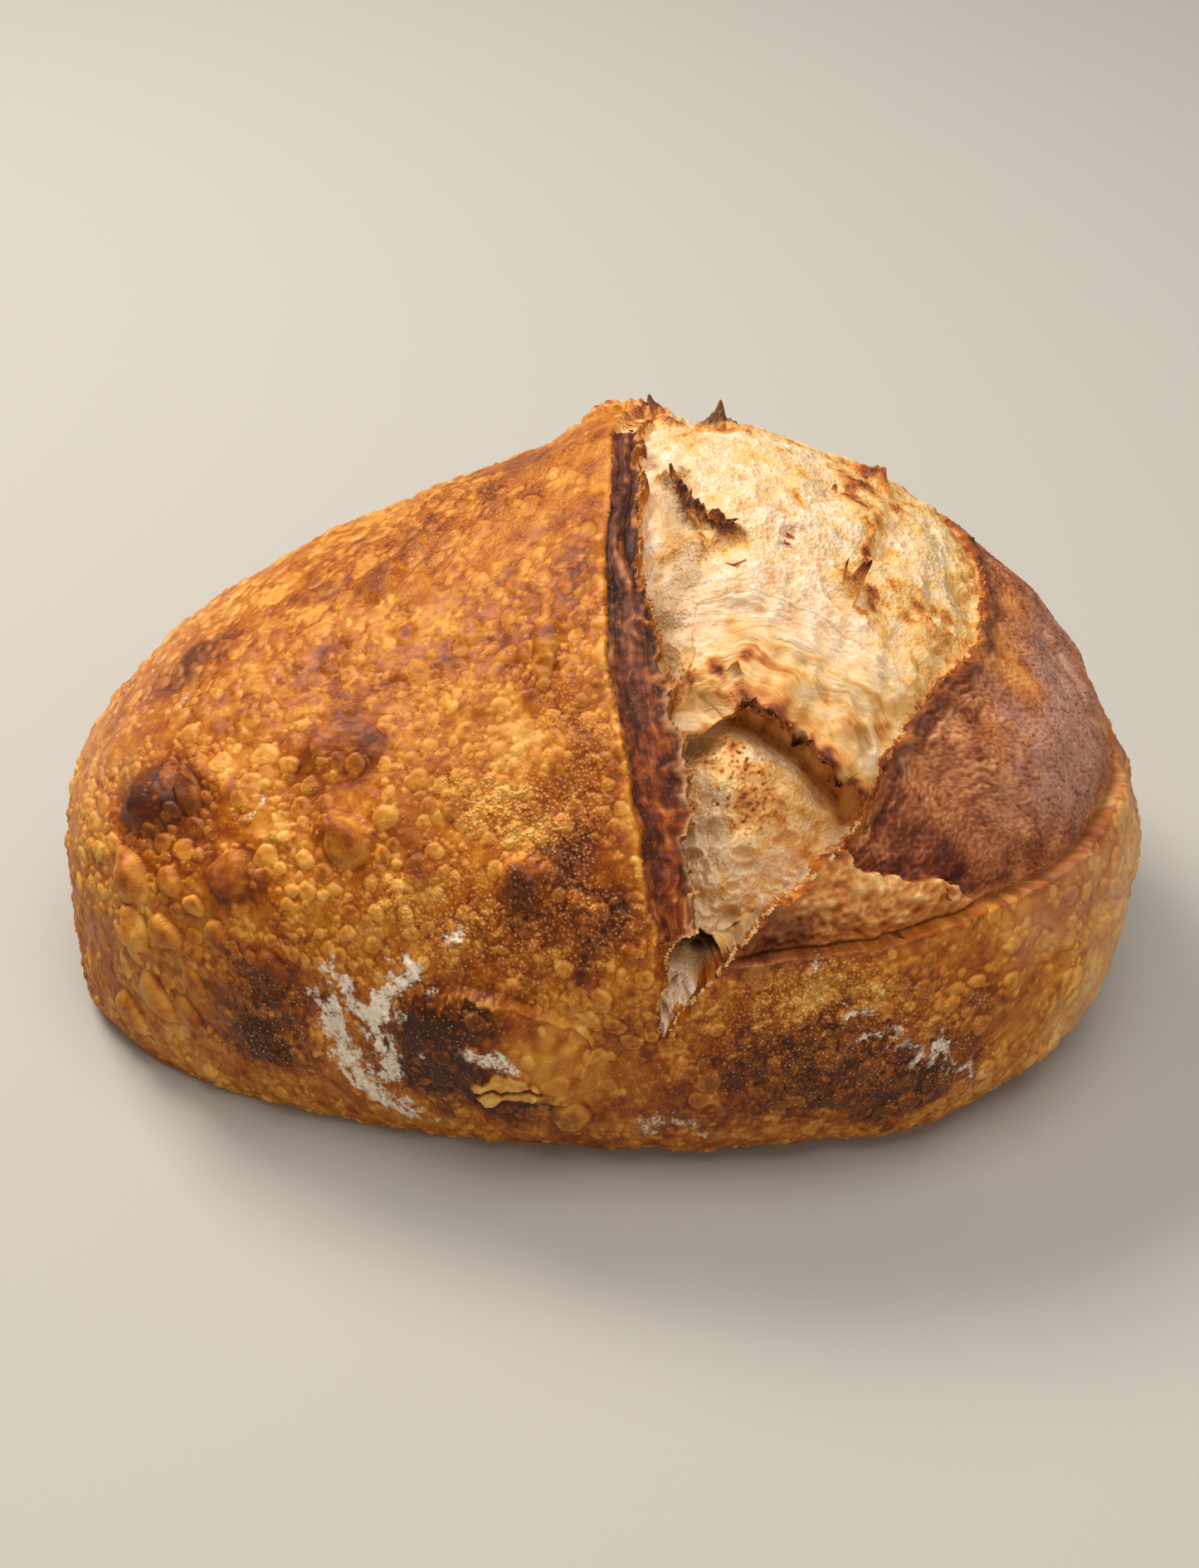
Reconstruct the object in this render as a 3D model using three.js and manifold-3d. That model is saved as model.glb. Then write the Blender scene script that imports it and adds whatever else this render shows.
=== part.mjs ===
// A free-standing sourdough loaf, torn open along one deep cut. Millimetres, +Z up, the length
// along X, the cut's lower end towards -Y, and the origin on the board under the loaf's middle.
//
// The crust is drawn on a flat map: u (to the right) and v (to the back) are millimetres along
// the crust from the crown. plainLoaf lifts a map point onto the smooth loaf. The relief then
// moves it: a rise along the crust's normal, and a slide across the map where a torn edge hangs
// over what it tore away from.
import * as THREE from "three";
import { mergeVertices } from "three/addons/utils/BufferGeometryUtils.js";
import Module from "manifold-3d";

// The plain loaf
const HALF_LENGTH = 123.5;
const FRONT_REACH = 79;
const BACK_REACH = 113.5;
const MIDDLE = { x: 5.13, y: -16.67 }; // the plan's centre, from the origin
const BELLY_HEIGHT = 41.3; // where the loaf is widest
const CROWN_RISE = 54;
const DOME = { reachPower: 0.97, heightPower: 0.92 }; // 1 and 1 would make an ellipse
const PEAK = { rise: 22, x: 24, y: 16, spreadX: 68, spreadY: 77, startsAt: 41, fullAt: 71 };
const THREE_SIDED = -0.037; // how far the plan leans from an oval to a rounded triangle
const FOOT = { share: 0.88, right: -0.062, ends: 0.066 }; // the foot's plan, as a share of the belly's

// The flat map
const MAP = { belly: 145, foot: 203, stretchU: 1.139, stretchV: 0.861, even: 0.0726 };
const FOOT_FADE = [5, 26]; // the relief dies out between these distances from the board's edge
const CLEARANCE = 0.05; // every facet but the underside stays this far off the board

// The cut and the tears, each line from its front end to its back end, or from left to right
const EAR_LIP = smoothLine([
  [9, -124], [7, -108], [7.8, -93], [5.2, -85], [3, -71], [1.1, -55], [-2, -38], [-3.2, -20],
  [-3, -1], [-1.8, 17], [-1.1, 32], [0.6, 42], [3, 58], [7, 77], [12, 97],
]);
const EAR_EDGE = smoothLine([
  [10, -120], [8, -111], [10, -102], [9.7, -96], [15.5, -88.5], [11.8, -83.5], [10, -77],
  [9.7, -65], [9, -54], [6.5, -41], [3.9, -28], [2.1, -11], [2.4, 4], [3.2, 22], [4.2, 41],
  [7, 60], [11, 78], [15, 97],
]);
const RIGHT_RIM = smoothLine([
  [10, -120], [16.6, -107.5], [23.4, -98.2], [28.3, -91], [32.5, -83], [38.5, -77], [44.6, -67],
  [48.5, -60], [51.5, -49.5], [56, -39], [65.6, -24.6], [73, -15.8], [80, -5], [83.8, 10],
  [85.3, 26], [83.5, 42], [75, 66], [58, 84], [38, 94], [15, 97],
]);
const SHELF = smoothLine([
  [4, -34.5], [8, -37], [13, -41.5], [18, -37.5], [22.6, -35.3], [28, -36.5], [33.2, -39.6],
  [38.6, -43.4], [43, -48], [47, -52], [49.5, -60],
]);
const FOLD = smoothLine([
  [22.5, -98.6], [36.2, -95.1], [48.5, -91.5], [58, -87.7], [76.5, -76.5], [96.3, -62], [112.3, -44],
  [122.6, -27.2], [131.5, -11.5], [137, 7], [137, 34],
]);
const FLAKE_EDGE = smoothLine([
  [41, -65.5], [46, -70.3], [52.8, -72.8], [59.7, -72.3], [65.5, -71], [70.5, -70], [75.3, -72.4], [82, -73],
]);
const SIDE_CREASE = smoothLine([[97, 24], [103.7, 20], [109.6, 16.7], [112.7, 12], [116.3, 1.7], [119, -8]]);

// The ear: the thick flap of crust that lifted along the cut. Its swell, the cut face and the
// overhang each grow and die out between two places along v.
const EAR = { swell: 3, swellWidth: 18, hollow: 0.9, drop: 1.2, reach: 4, farSwell: 0.3, farReach: 0.25 };
const EAR_ALONG = {
  swellGrows: [-128, -88],
  swellEases: [34, 52],
  swellEnds: [80, 100],
  faceGrows: [-104, -90],
  faceEnds: [76, 96],
  reachGrows: [-96, -80],
  reachEases: [-30, 5],
  reachEnds: [70, 95],
};
const CLIFF = [
  // [v, depth of the crumb under the ear's free edge]
  [-123, 2], [-110, 9], [-96, 13], [-70, 14], [-48, 13], [-38, 10], [-24, 7], [0, 5], [22, 3.4],
  [45, 2.6], [80, 2], [97, 0.5],
];
const MOUND = { rise: 1.6, riseWidth: 10, cliffWidth: 13, lip: 1.6, lipWidth: 7 };
const RIM_GROOVE = { depth: 2.2, width: 5 }; // where the mound meets the crust's right rim
const SHELF_REACH = 4;
const HOLLOW = { depth: 13, belly: 6.5, wallWidth: 9, deepens: 2, deepensAlong: [-66, -92] };
const CLEFT = { edge: 3, slope: 2.4, deepest: 15, opensAlong: [-108, -94] };
const RIM = { lift: 1.2, width: 5, grows: [-124, -112], ends: [50, 80] }; // the crust's torn right rim
const FOLD_STEP = { lip: 2.2, lipWidth: 10, valley: 2.6, valleyWidth: 7, reach: 1.5 };
const FLAKE = { lift: 2.2, width: 8, dropWidth: 7 };
const CREASE = { depth: 1.3, width: 2.5 };
const OVERHANG_WIDTH = 4; // how much crust behind an edge is drawn out over it
const TEAR_WIDTH = 1.2; // how far a torn wall spreads on the map
const ON_LINE = 0.02; // a place this close to a torn line counts as on its high side

// Soft lumps and hollows: [u, v, radius along u, radius along v, rise]
const LUMPS = [
  [0, 56, 14, 28, 4.6], // the ear's high back end
  [104, 36, 26, 24, 2], // right shoulder
  [-95, 45, 32, 26, 1.5], // left shoulder
  [92, -27, 34, 28, 4], // right lobe
  [56, -63.5, 7, 5, -5], // pit between lobe and flake
  [-208, -52, 34, 40, 3.5], // left foot, spread on the board
  [116, -132, 24, 14, 2.2],
  [22, -51, 12, 8, 2.5], // toasted swelling inside the opening
  [42, 0, 26, 34, 1.5], // the opened crumb's crown
];
// Blisters large enough to be form: [u, v, radius along u, radius along v, turn in degrees, rise]
const BLISTERS = [
  [-39, -121, 31, 16, -14, 4.5],
  [-108, -33, 11, 9, 20, 3.2],
  [-94.5, -30.5, 5, 6.5, 0, 2],
  [-61, -38, 9, 8, 0, 2],
  [-20, -80, 9, 7, 0, 2],
  [-118, -98, 15, 10, 0, 1.6],
  [-124.6, -51, 7, 7, 0, 1.8],
  [-62, -61, 7, 8, 0, 1.8],
  [-93, -63, 7, 6, 0, 1.6],
  [-14.6, -23.7, 6, 6, 0, 1.4],
  [-141, -62, 8, 6, 0, 1.6],
  [57, -122, 17, 9, 10, 1.4],
  [92, -116, 12, 9, 0, 1.4],
];
// Torn points of crust that stand up: place, height, width, thickness, the turn of the width in
// degrees on the map, and the tip's lean along the width and across it
const SPIKES = [
  { u: 5, v: 58, height: 6.5, width: 12, thickness: 7, turn: 0, lean: [1.5, 1] },
  { u: -2, v: 59, height: 4, width: 9, thickness: 7, turn: 0, lean: [-1, 0] },
  { u: 23.5, v: 56, height: 8, width: 6, thickness: 5, turn: 10, lean: [-0.5, 1] },
  { u: 59.5, v: 44, height: 3.2, width: 10, thickness: 6, turn: -30, lean: [-1, 0] },
  { u: 14, v: 18, height: 4, width: 12, thickness: 4, turn: -55, lean: [-2, 1] },
  { u: 19, v: 9.5, height: 4.5, width: 13, thickness: 4, turn: -40, lean: [4, 1] },
  { u: 48, v: 0.5, height: 5, width: 8, thickness: 4, turn: -70, lean: [-1, 0] },
];
const SPIKE_ROOT = 4; // how deep a spike reaches into the crumb

// The grid of the crust's facets. Its steps grow away from the cut and from the row of the hollow.
const COLUMNS = { left: 34, right: 42, leftGrowth: 1.03, rightGrowth: 1.033 };
const BAND_COLUMNS = 2; // columns across the ear's cut face
const ROWS = { startV: -70, front: 21, back: 41, frontGrowth: 1.05, backGrowth: 1.026 };
const SNAP_REACH = 6; // a facet's corner is drawn onto a torn line from no farther than this
const EAR_ZONE = { left: -46, bandSide: 7, right: 60 }; // map u between which columns follow the ear

function smoothLine(points) {
  const corners = points.map(([u, v]) => new THREE.Vector2(u, v));
  return new THREE.SplineCurve(corners).getPoints(points.length * 4);
}

function ease(from, to, value) {
  return THREE.MathUtils.smoothstep(value, from, to);
}

function bell(distance, width) {
  return Math.exp(-((distance / width) ** 2));
}

// A value read off a table of [place, value] pairs.
function read(table, place) {
  const next = table.findIndex(([p]) => p > place);
  if (next === 0) return table[0][1];
  if (next < 0) return table[table.length - 1][1];
  const [[p0, y0], [p1, y1]] = [table[next - 1], table[next]];
  return THREE.MathUtils.mapLinear(place, p0, p1, y0, y1);
}

// The u of a front-to-back line at a given v.
function lineU(line, v) {
  const next = line.findIndex((p) => p.y > v);
  if (next === 0) return line[0].x;
  if (next < 0) return line[line.length - 1].x;
  const [a, b] = [line[next - 1], line[next]];
  return THREE.MathUtils.mapLinear(v, a.y, b.y, a.x, b.x);
}

// How far a map point lies from a line, positive on its right, with the line's nearest place, the
// unit vector to the line's left and the share of the line passed.
function measure(line, u, v) {
  let best = { distance: Infinity };
  for (let i = 1; i < line.length; i++) {
    const a = line[i - 1];
    const along = new THREE.Vector2().subVectors(line[i], a);
    const length = along.length();
    along.divideScalar(length);
    const reach = THREE.MathUtils.clamp((u - a.x) * along.x + (v - a.y) * along.y, 0, length);
    const [du, dv] = [u - a.x - reach * along.x, v - a.y - reach * along.y];
    const distance = Math.hypot(du, dv);
    if (distance < Math.abs(best.distance)) {
      const side = du * along.y - dv * along.x < 0 ? -1 : 1;
      best = {
        distance: side * distance,
        share: (i - 1 + reach / length) / (line.length - 1),
        foot: [u - du, v - dv],
        left: [-along.y, along.x],
      };
    }
  }
  return best;
}

const OPENING = [...EAR_EDGE, ...[...RIGHT_RIM].reverse()];

function insideOpening(u, v) {
  let inside = false;
  OPENING.forEach((a, i) => {
    const b = OPENING[(i + 1) % OPENING.length];
    if (a.y > v !== b.y > v && u < ((b.x - a.x) * (v - a.y)) / (b.y - a.y) + a.x) inside = !inside;
  });
  return inside;
}

function plainLoaf(u, v) {
  const [a, b] = [u / MAP.stretchU, v / MAP.stretchV];
  const radius = Math.hypot(a, b) + 1e-9;
  const [cos, sin] = [a / radius, b / radius];
  let reach, height;
  if (radius < MAP.belly) {
    const share = radius / MAP.belly;
    const tilt = (Math.PI / 2) * share - MAP.even * Math.sin(Math.PI * share);
    reach = Math.sin(tilt) ** DOME.reachPower;
    height = BELLY_HEIGHT + CROWN_RISE * Math.cos(tilt) ** DOME.heightPower;
  } else {
    const tilt = (Math.PI / 2) * Math.min((radius - MAP.belly) / (MAP.foot - MAP.belly), 1);
    const foot = FOOT.share + FOOT.right * cos + FOOT.ends * (cos * cos - sin * sin);
    reach = foot + (1 - foot) * Math.cos(tilt);
    height = BELLY_HEIGHT * (1 - Math.sin(tilt));
  }
  const plan = reach * (1 + THREE_SIDED * cos * (4 * cos * cos - 3));
  const depth = (BACK_REACH + FRONT_REACH) / 2 + ((BACK_REACH - FRONT_REACH) / 2) * sin;
  const x = MIDDLE.x + HALF_LENGTH * plan * cos;
  const y = MIDDLE.y + depth * plan * sin;
  const peak = bell(x - PEAK.x, PEAK.spreadX) * bell(y - PEAK.y, PEAK.spreadY);
  return new THREE.Vector3(x, y, height + PEAK.rise * peak * ease(PEAK.startsAt, PEAK.fullAt, height));
}

function plainNormal(u, v) {
  const step = 0.5;
  const alongU = plainLoaf(u + step, v).sub(plainLoaf(u - step, v));
  const alongV = plainLoaf(u, v + step).sub(plainLoaf(u, v - step));
  return alongU.cross(alongV).normalize();
}

function softForms(u, v) {
  let rise = 0;
  for (const [atU, atV, radiusU, radiusV, height] of LUMPS)
    rise += height * bell(u - atU, radiusU) * bell(v - atV, radiusV);
  for (const [atU, atV, radiusU, radiusV, turn, height] of BLISTERS) {
    const angle = THREE.MathUtils.degToRad(turn);
    const [du, dv] = [u - atU, v - atV];
    const across = (du * Math.cos(angle) + dv * Math.sin(angle)) / radiusU;
    const up = (dv * Math.cos(angle) - du * Math.sin(angle)) / radiusV;
    rise += height * Math.max(1 - across ** 2 - up ** 2, 0) ** 0.8;
  }
  return rise;
}

// Grows from nothing at a line's start, and dies out towards its end.
function grip(share, start, end) {
  return ease(0, start, share) * (1 - ease(end, 1, share));
}

// The crust's rise above the plain loaf, outside the opening.
function crustRise(u, v, lip, edge, rim, fold) {
  const far = THREE.MathUtils.lerp(1, EAR.farSwell, ease(...EAR_ALONG.swellEases, v));
  const swell = EAR.swell * far * ease(...EAR_ALONG.swellGrows, v) * (1 - ease(...EAR_ALONG.swellEnds, v));
  let rise = 0;
  if (lip.distance < 0) {
    rise += swell * bell(lip.distance, EAR.swellWidth);
  } else if (edge.distance < ON_LINE) {
    const across = Math.min(lip.distance / (lip.distance - edge.distance), 1);
    const cutFace = ease(...EAR_ALONG.faceGrows, v) * (1 - ease(...EAR_ALONG.faceEnds, v));
    rise += swell - cutFace * (EAR.drop * across + EAR.hollow * Math.sin(Math.PI * across));
  }
  if (rim.distance > -ON_LINE) {
    rise += RIM.lift * bell(rim.distance, RIM.width) * ease(...RIM.grows, v) * (1 - ease(...RIM.ends, v));
    const folded = grip(fold.share, 0.08, 0.8);
    if (fold.distance > -ON_LINE) rise += folded * FOLD_STEP.lip * bell(fold.distance, FOLD_STEP.lipWidth);
    else rise -= folded * FOLD_STEP.valley * bell(fold.distance, FOLD_STEP.valleyWidth);
    const flake = measure(FLAKE_EDGE, u, v);
    const lift = FLAKE.lift * grip(flake.share, 0.1, 0.75);
    if (flake.distance > -ON_LINE) rise += lift * bell(flake.distance, FLAKE.width);
    else rise -= lift * bell(flake.distance, FLAKE.dropWidth);
    const crease = measure(SIDE_CREASE, u, v);
    rise -= CREASE.depth * bell(crease.distance, CREASE.width) * grip(crease.share, 0.2, 0.7);
  }
  return rise;
}

// The crumb's rise above the plain loaf, inside the opening: a mound behind the shelf, and in
// front of it a hollow that narrows into the cleft.
function crumbRise(v, edge, rim, shelf) {
  const fromEdge = Math.abs(edge.distance);
  const fromRim = Math.abs(rim.distance);
  const mound =
    MOUND.rise * (1 - Math.exp(-fromEdge / MOUND.riseWidth)) -
    read(CLIFF, v) * bell(fromEdge, MOUND.cliffWidth) -
    RIM_GROOVE.depth * bell(fromRim, RIM_GROOVE.width) +
    MOUND.lip * bell(shelf.distance, MOUND.lipWidth);
  const fromWall = Math.min(fromEdge, fromRim, Math.abs(shelf.distance));
  const cavern =
    HOLLOW.belly * (1 - bell(fromWall, HOLLOW.wallWidth)) -
    HOLLOW.depth -
    HOLLOW.deepens * (1 - ease(HOLLOW.deepensAlong[1], HOLLOW.deepensAlong[0], v));
  const cleft = -Math.min(CLEFT.edge + CLEFT.slope * fromWall, CLEFT.deepest);
  const hollow = THREE.MathUtils.lerp(cleft, cavern, ease(...CLEFT.opensAlong, v));
  return THREE.MathUtils.lerp(mound, hollow, ease(ON_LINE, TEAR_WIDTH, shelf.distance));
}

// How far an edge slides over what lies below it: full at the edge, gone past the torn wall.
function overhang(distance, reach) {
  if (distance < 0) return reach * bell(distance, OVERHANG_WIDTH);
  return reach * (1 - ease(ON_LINE, TEAR_WIDTH, distance));
}

// Everything about a map point that the relief needs.
function survey(u, v) {
  const [lip, edge, rim] = [EAR_LIP, EAR_EDGE, RIGHT_RIM].map((line) => measure(line, u, v));
  const open = insideOpening(u, v);
  return {
    lip,
    edge,
    rim,
    shelf: measure(SHELF, u, v),
    fold: measure(FOLD, u, v),
    open,
    depthIn: (open ? 1 : -1) * Math.min(Math.abs(edge.distance), Math.abs(rim.distance)),
    standing: ease(...FOOT_FADE, MAP.foot - Math.hypot(u / MAP.stretchU, v / MAP.stretchV)),
  };
}

function riseAt(u, v, { lip, edge, rim, shelf, fold, open, depthIn, standing }) {
  let rise = crustRise(u, v, lip, edge, rim, fold);
  if (open) {
    const torn = ease(ON_LINE, TEAR_WIDTH, depthIn);
    rise = THREE.MathUtils.lerp(rise, crumbRise(v, edge, rim, shelf), torn);
  }
  return (rise + softForms(u, v)) * standing;
}

// The map place that a torn or folded edge slides a point to.
function slidAt(u, v, { edge, rim, shelf, fold, open, depthIn, standing }) {
  const place = [u, v];
  const hang = (line, amount) => {
    place[0] += line.left[0] * amount * standing;
    place[1] += line.left[1] * amount * standing;
  };
  const far = THREE.MathUtils.lerp(1, EAR.farReach, ease(...EAR_ALONG.reachEases, v));
  const reach = EAR.reach * far * ease(...EAR_ALONG.reachGrows, v) * (1 - ease(...EAR_ALONG.reachEnds, v));
  hang(edge, -overhang(edge.distance, reach));
  if (open) {
    const ends = grip(shelf.share, 0.12, 0.85) * ease(0, SHELF_REACH, depthIn);
    hang(shelf, -overhang(shelf.distance, SHELF_REACH) * ends);
  }
  if (rim.distance > 0) hang(fold, overhang(-fold.distance, FOLD_STEP.reach) * grip(fold.share, 0.12, 0.7));
  return place;
}

function crustAt(u, v) {
  const facts = survey(u, v);
  const place = slidAt(u, v, facts);
  const point = plainLoaf(...place).addScaledVector(plainNormal(...place), riseAt(u, v, facts));
  return point.setZ(Math.max(point.z, CLEARANCE));
}

// Step sizes that grow away from the cut, as running places from 0 to 1.
function growing(count, growth) {
  const places = [0];
  for (let i = 0; i < count; i++) places.push(places[i] + growth ** i);
  return places.map((p) => p / places[count]);
}

// A square grid place, from -1 to 1 each way, laid onto the map's oval without crowding.
function ovalPlace(s, t) {
  if (s === 0 && t === 0) return [0, 0];
  const wide = Math.abs(s) > Math.abs(t);
  const radius = wide ? s : t;
  const angle = wide ? (Math.PI / 4) * (t / s) : Math.PI / 2 - (Math.PI / 4) * (s / t);
  return [
    MAP.foot * MAP.stretchU * radius * Math.cos(angle),
    MAP.foot * MAP.stretchV * radius * Math.sin(angle),
  ];
}

// Columns near the cut are drawn in to follow the ear's lip and its free edge.
function followEar(s, t, bandS) {
  const [u, v] = ovalPlace(s, t);
  const bandU = ovalPlace(bandS, t)[0];
  const from = [EAR_ZONE.left, 0, bandU, EAR_ZONE.right];
  const to = [EAR_ZONE.left, lineU(EAR_LIP, v), lineU(EAR_EDGE, v), EAR_ZONE.right];
  if (u <= from[0] || u >= from[3]) return [u, v];
  const next = from.findIndex((place) => place > u);
  return [THREE.MathUtils.mapLinear(u, from[next - 1], from[next], to[next - 1], to[next]), v];
}

// Every grid edge that crosses a line lends the line its nearer end, so that facets meet along it.
// Returns the numbers of the places that moved.
function snapTo(line, places, wide) {
  const near = places.map(([u, v]) => measure(line, u, v));
  const usable = (m) => Math.abs(m.distance) < SNAP_REACH && m.share > 0 && m.share < 1;
  const moved = new Set();
  for (let i = 0; i + wide < places.length; i++)
    for (const j of [i + 1, i + wide]) {
      if (!usable(near[i]) || !usable(near[j])) continue;
      if (near[i].distance * near[j].distance > 0) continue;
      moved.add(Math.abs(near[i].distance) < Math.abs(near[j].distance) ? i : j);
    }
  for (const i of moved) places[i] = near[i].foot;
  return moved;
}

function gridLines() {
  const bandS = EAR_ZONE.bandSide / (MAP.foot * MAP.stretchU);
  const toward = (count, growth) => growing(count, growth).slice(1).reverse();
  const left = toward(COLUMNS.left, COLUMNS.leftGrowth).map((p) => -p);
  const band = Array.from({ length: BAND_COLUMNS }, (_, i) => (bandS * i) / BAND_COLUMNS);
  const right = growing(COLUMNS.right, COLUMNS.rightGrowth).map((p) => bandS + (1 - bandS) * p);
  const startT = ROWS.startV / (MAP.foot * MAP.stretchV);
  const front = toward(ROWS.front, ROWS.frontGrowth).map((p) => startT - (1 + startT) * p);
  const back = growing(ROWS.back, ROWS.backGrowth).map((p) => startT + (1 - startT) * p);
  return { columns: [...left, ...band, ...right], rows: [...front, ...back], bandS };
}

function loafGeometry() {
  const { columns, rows, bandS } = gridLines();
  const wide = columns.length;
  const places = rows.flatMap((t) => columns.map((s) => followEar(s, t, bandS)));
  const onLine = [RIGHT_RIM, SHELF, FOLD, FLAKE_EDGE].map((line) => snapTo(line, places, wide));
  const points = places.map(([u, v]) => crustAt(u, v));

  const faces = [];
  for (let row = 0; row + 1 < rows.length; row++)
    for (let column = 0; column + 1 < wide; column++) {
      const a = row * wide + column;
      const [b, c, d] = [a + 1, a + wide + 1, a + wide];
      const joined = (i, j) => onLine.some((moved) => moved.has(i) && moved.has(j));
      let alongAC = points[a].distanceTo(points[c]) < points[b].distanceTo(points[d]);
      if (joined(a, c) !== joined(b, d)) alongAC = joined(a, c);
      faces.push(...(alongAC ? [a, b, c, a, c, d] : [a, b, d, b, c, d]));
    }

  // The flat underside closes the loaf inside the grid's border.
  const last = rows.length - 1;
  const border = [
    ...columns.map((_, i) => i),
    ...rows.slice(1, last).map((_, i) => (i + 1) * wide + wide - 1),
    ...columns.map((_, i) => last * wide + wide - 1 - i),
    ...rows.slice(1, last).map((_, i) => (last - 1 - i) * wide),
  ];
  border.forEach((i) => points[i].setZ(0));
  const outline = border.map((i) => new THREE.Vector2(points[i].x, points[i].y));
  for (const [a, b, c] of THREE.ShapeUtils.triangulateShape(outline, []))
    faces.push(border[c], border[b], border[a]);

  return new THREE.BufferGeometry().setFromPoints(points).setIndex(faces);
}

// A torn point: a flattened, slightly bent cone that stands on the crust.
function spikeGeometry({ u, v, height, width, thickness, turn, lean }) {
  const geometry = new THREE.ConeGeometry(1, 1, 7, 3);
  geometry.deleteAttribute("normal").deleteAttribute("uv");
  const up = plainNormal(u, v);
  const foot = plainLoaf(u, v).addScaledVector(up, riseAt(u, v, survey(u, v)));
  const alongU = plainLoaf(u + 1, v).sub(plainLoaf(u, v)).projectOnPlane(up).normalize();
  alongU.applyAxisAngle(up, THREE.MathUtils.degToRad(turn));
  const alongV = up.clone().cross(alongU);
  const position = geometry.attributes.position;
  for (let i = 0; i < position.count; i++) {
    const risen = position.getY(i) + 0.5;
    const place = foot
      .clone()
      .addScaledVector(up, risen * (height + SPIKE_ROOT) - SPIKE_ROOT)
      .addScaledVector(alongU, (position.getX(i) * width) / 2 + lean[0] * risen ** 2)
      .addScaledVector(alongV, (-position.getZ(i) * thickness) / 2 + lean[1] * risen ** 2);
    position.setXYZ(i, place.x, place.y, place.z);
  }
  return geometry;
}

const wasm = await Module();
wasm.setup();

function solidOf(geometry) {
  const merged = mergeVertices(geometry, 1e-3);
  return new wasm.Manifold(
    new wasm.Mesh({
      numProp: 3,
      vertProperties: merged.attributes.position.array,
      triVerts: new Uint32Array(merged.index.array),
    }),
  );
}

function geometryOf(solid) {
  const { vertProperties, triVerts } = solid.getMesh();
  return new THREE.BufferGeometry()
    .setAttribute("position", new THREE.BufferAttribute(vertProperties, 3))
    .setIndex(new THREE.BufferAttribute(triVerts, 1));
}

let loaf = solidOf(loafGeometry());
for (const spike of SPIKES) loaf = loaf.add(solidOf(spikeGeometry(spike)));

const crust = new THREE.MeshStandardMaterial({ color: 0xb57433, roughness: 0.5, metalness: 0 });
const mesh = new THREE.Mesh(geometryOf(loaf), crust);
mesh.name = "loaf";

const group = new THREE.Group();
group.add(mesh);

export default group;
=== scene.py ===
import bpy
import math
import numpy as np
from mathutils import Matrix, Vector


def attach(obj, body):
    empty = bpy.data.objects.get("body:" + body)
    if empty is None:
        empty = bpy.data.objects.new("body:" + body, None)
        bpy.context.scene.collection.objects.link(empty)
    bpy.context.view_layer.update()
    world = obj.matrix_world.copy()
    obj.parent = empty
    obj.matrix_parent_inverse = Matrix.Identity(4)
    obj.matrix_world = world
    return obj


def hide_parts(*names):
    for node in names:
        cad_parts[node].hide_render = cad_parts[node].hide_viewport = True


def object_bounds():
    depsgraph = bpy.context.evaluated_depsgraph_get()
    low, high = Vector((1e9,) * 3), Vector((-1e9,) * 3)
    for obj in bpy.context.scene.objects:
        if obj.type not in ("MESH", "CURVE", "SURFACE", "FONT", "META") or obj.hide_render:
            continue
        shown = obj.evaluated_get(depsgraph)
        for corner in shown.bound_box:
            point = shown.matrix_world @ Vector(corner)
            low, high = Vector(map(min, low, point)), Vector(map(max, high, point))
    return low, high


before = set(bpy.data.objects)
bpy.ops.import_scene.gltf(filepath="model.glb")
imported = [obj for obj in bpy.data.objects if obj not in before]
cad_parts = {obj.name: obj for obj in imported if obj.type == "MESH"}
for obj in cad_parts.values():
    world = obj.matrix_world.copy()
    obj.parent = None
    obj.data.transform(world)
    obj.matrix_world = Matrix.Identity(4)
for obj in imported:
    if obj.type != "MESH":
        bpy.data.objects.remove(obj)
cadBox = [list(corner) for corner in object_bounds()]
bpy.ops.object.select_all(action="DESELECT")
scene = bpy.context.scene

# The crust lies on a flat map, as it does in the frame: u (right) and v (back) are millimetres
# along the crust from the crown. Relief and colour marks are drawn on rasters over that map,
# plainLoaf lifts it onto the loaf, and a fine grid of the result becomes the pieces.


def ease(start, end, value):
    share = unit((value - start) / (end - start))
    return share * share * (3 - 2 * share)


def unit(value):  # held between 0 and 1
    return np.clip(value, 0, 1)


def bell(distance, width):
    return np.exp(-((distance / width) ** 2))


def mix(first, second, share):
    return first + (second - first) * share


def grip(share, start, end):  # 1 along the middle of a line, and 0 at its ends
    return ease(0, start, share) * (1 - ease(end, 1, share))


def turned(u, v, degrees, radiusU=1, radiusV=1):  # a place in a turned oval's own axes, 1 at its edge
    turn = math.radians(degrees)
    across = (u * math.cos(turn) + v * math.sin(turn)) / radiusU
    up = (v * math.cos(turn) - u * math.sin(turn)) / radiusV
    return across, up


def smoothLine(points):  # a Catmull-Rom curve through the points, four steps to each
    corners = np.array(points, float)
    last = len(corners) - 1
    places = np.linspace(0, last, len(corners) * 4 + 1)
    whole = np.minimum(places.astype(int), last)
    t = (places - whole)[:, None]
    p0 = corners[np.maximum(whole - 1, 0)]
    p1 = corners[whole]
    p2 = corners[np.minimum(whole + 1, last)]
    p3 = corners[np.minimum(whole + 2, last)]
    v0, v1 = (p2 - p0) / 2, (p3 - p1) / 2
    return (2 * p1 - 2 * p2 + v0 + v1) * t**3 + (-3 * p1 + 3 * p2 - 2 * v0 - v1) * t**2 + v0 * t + p1


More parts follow.
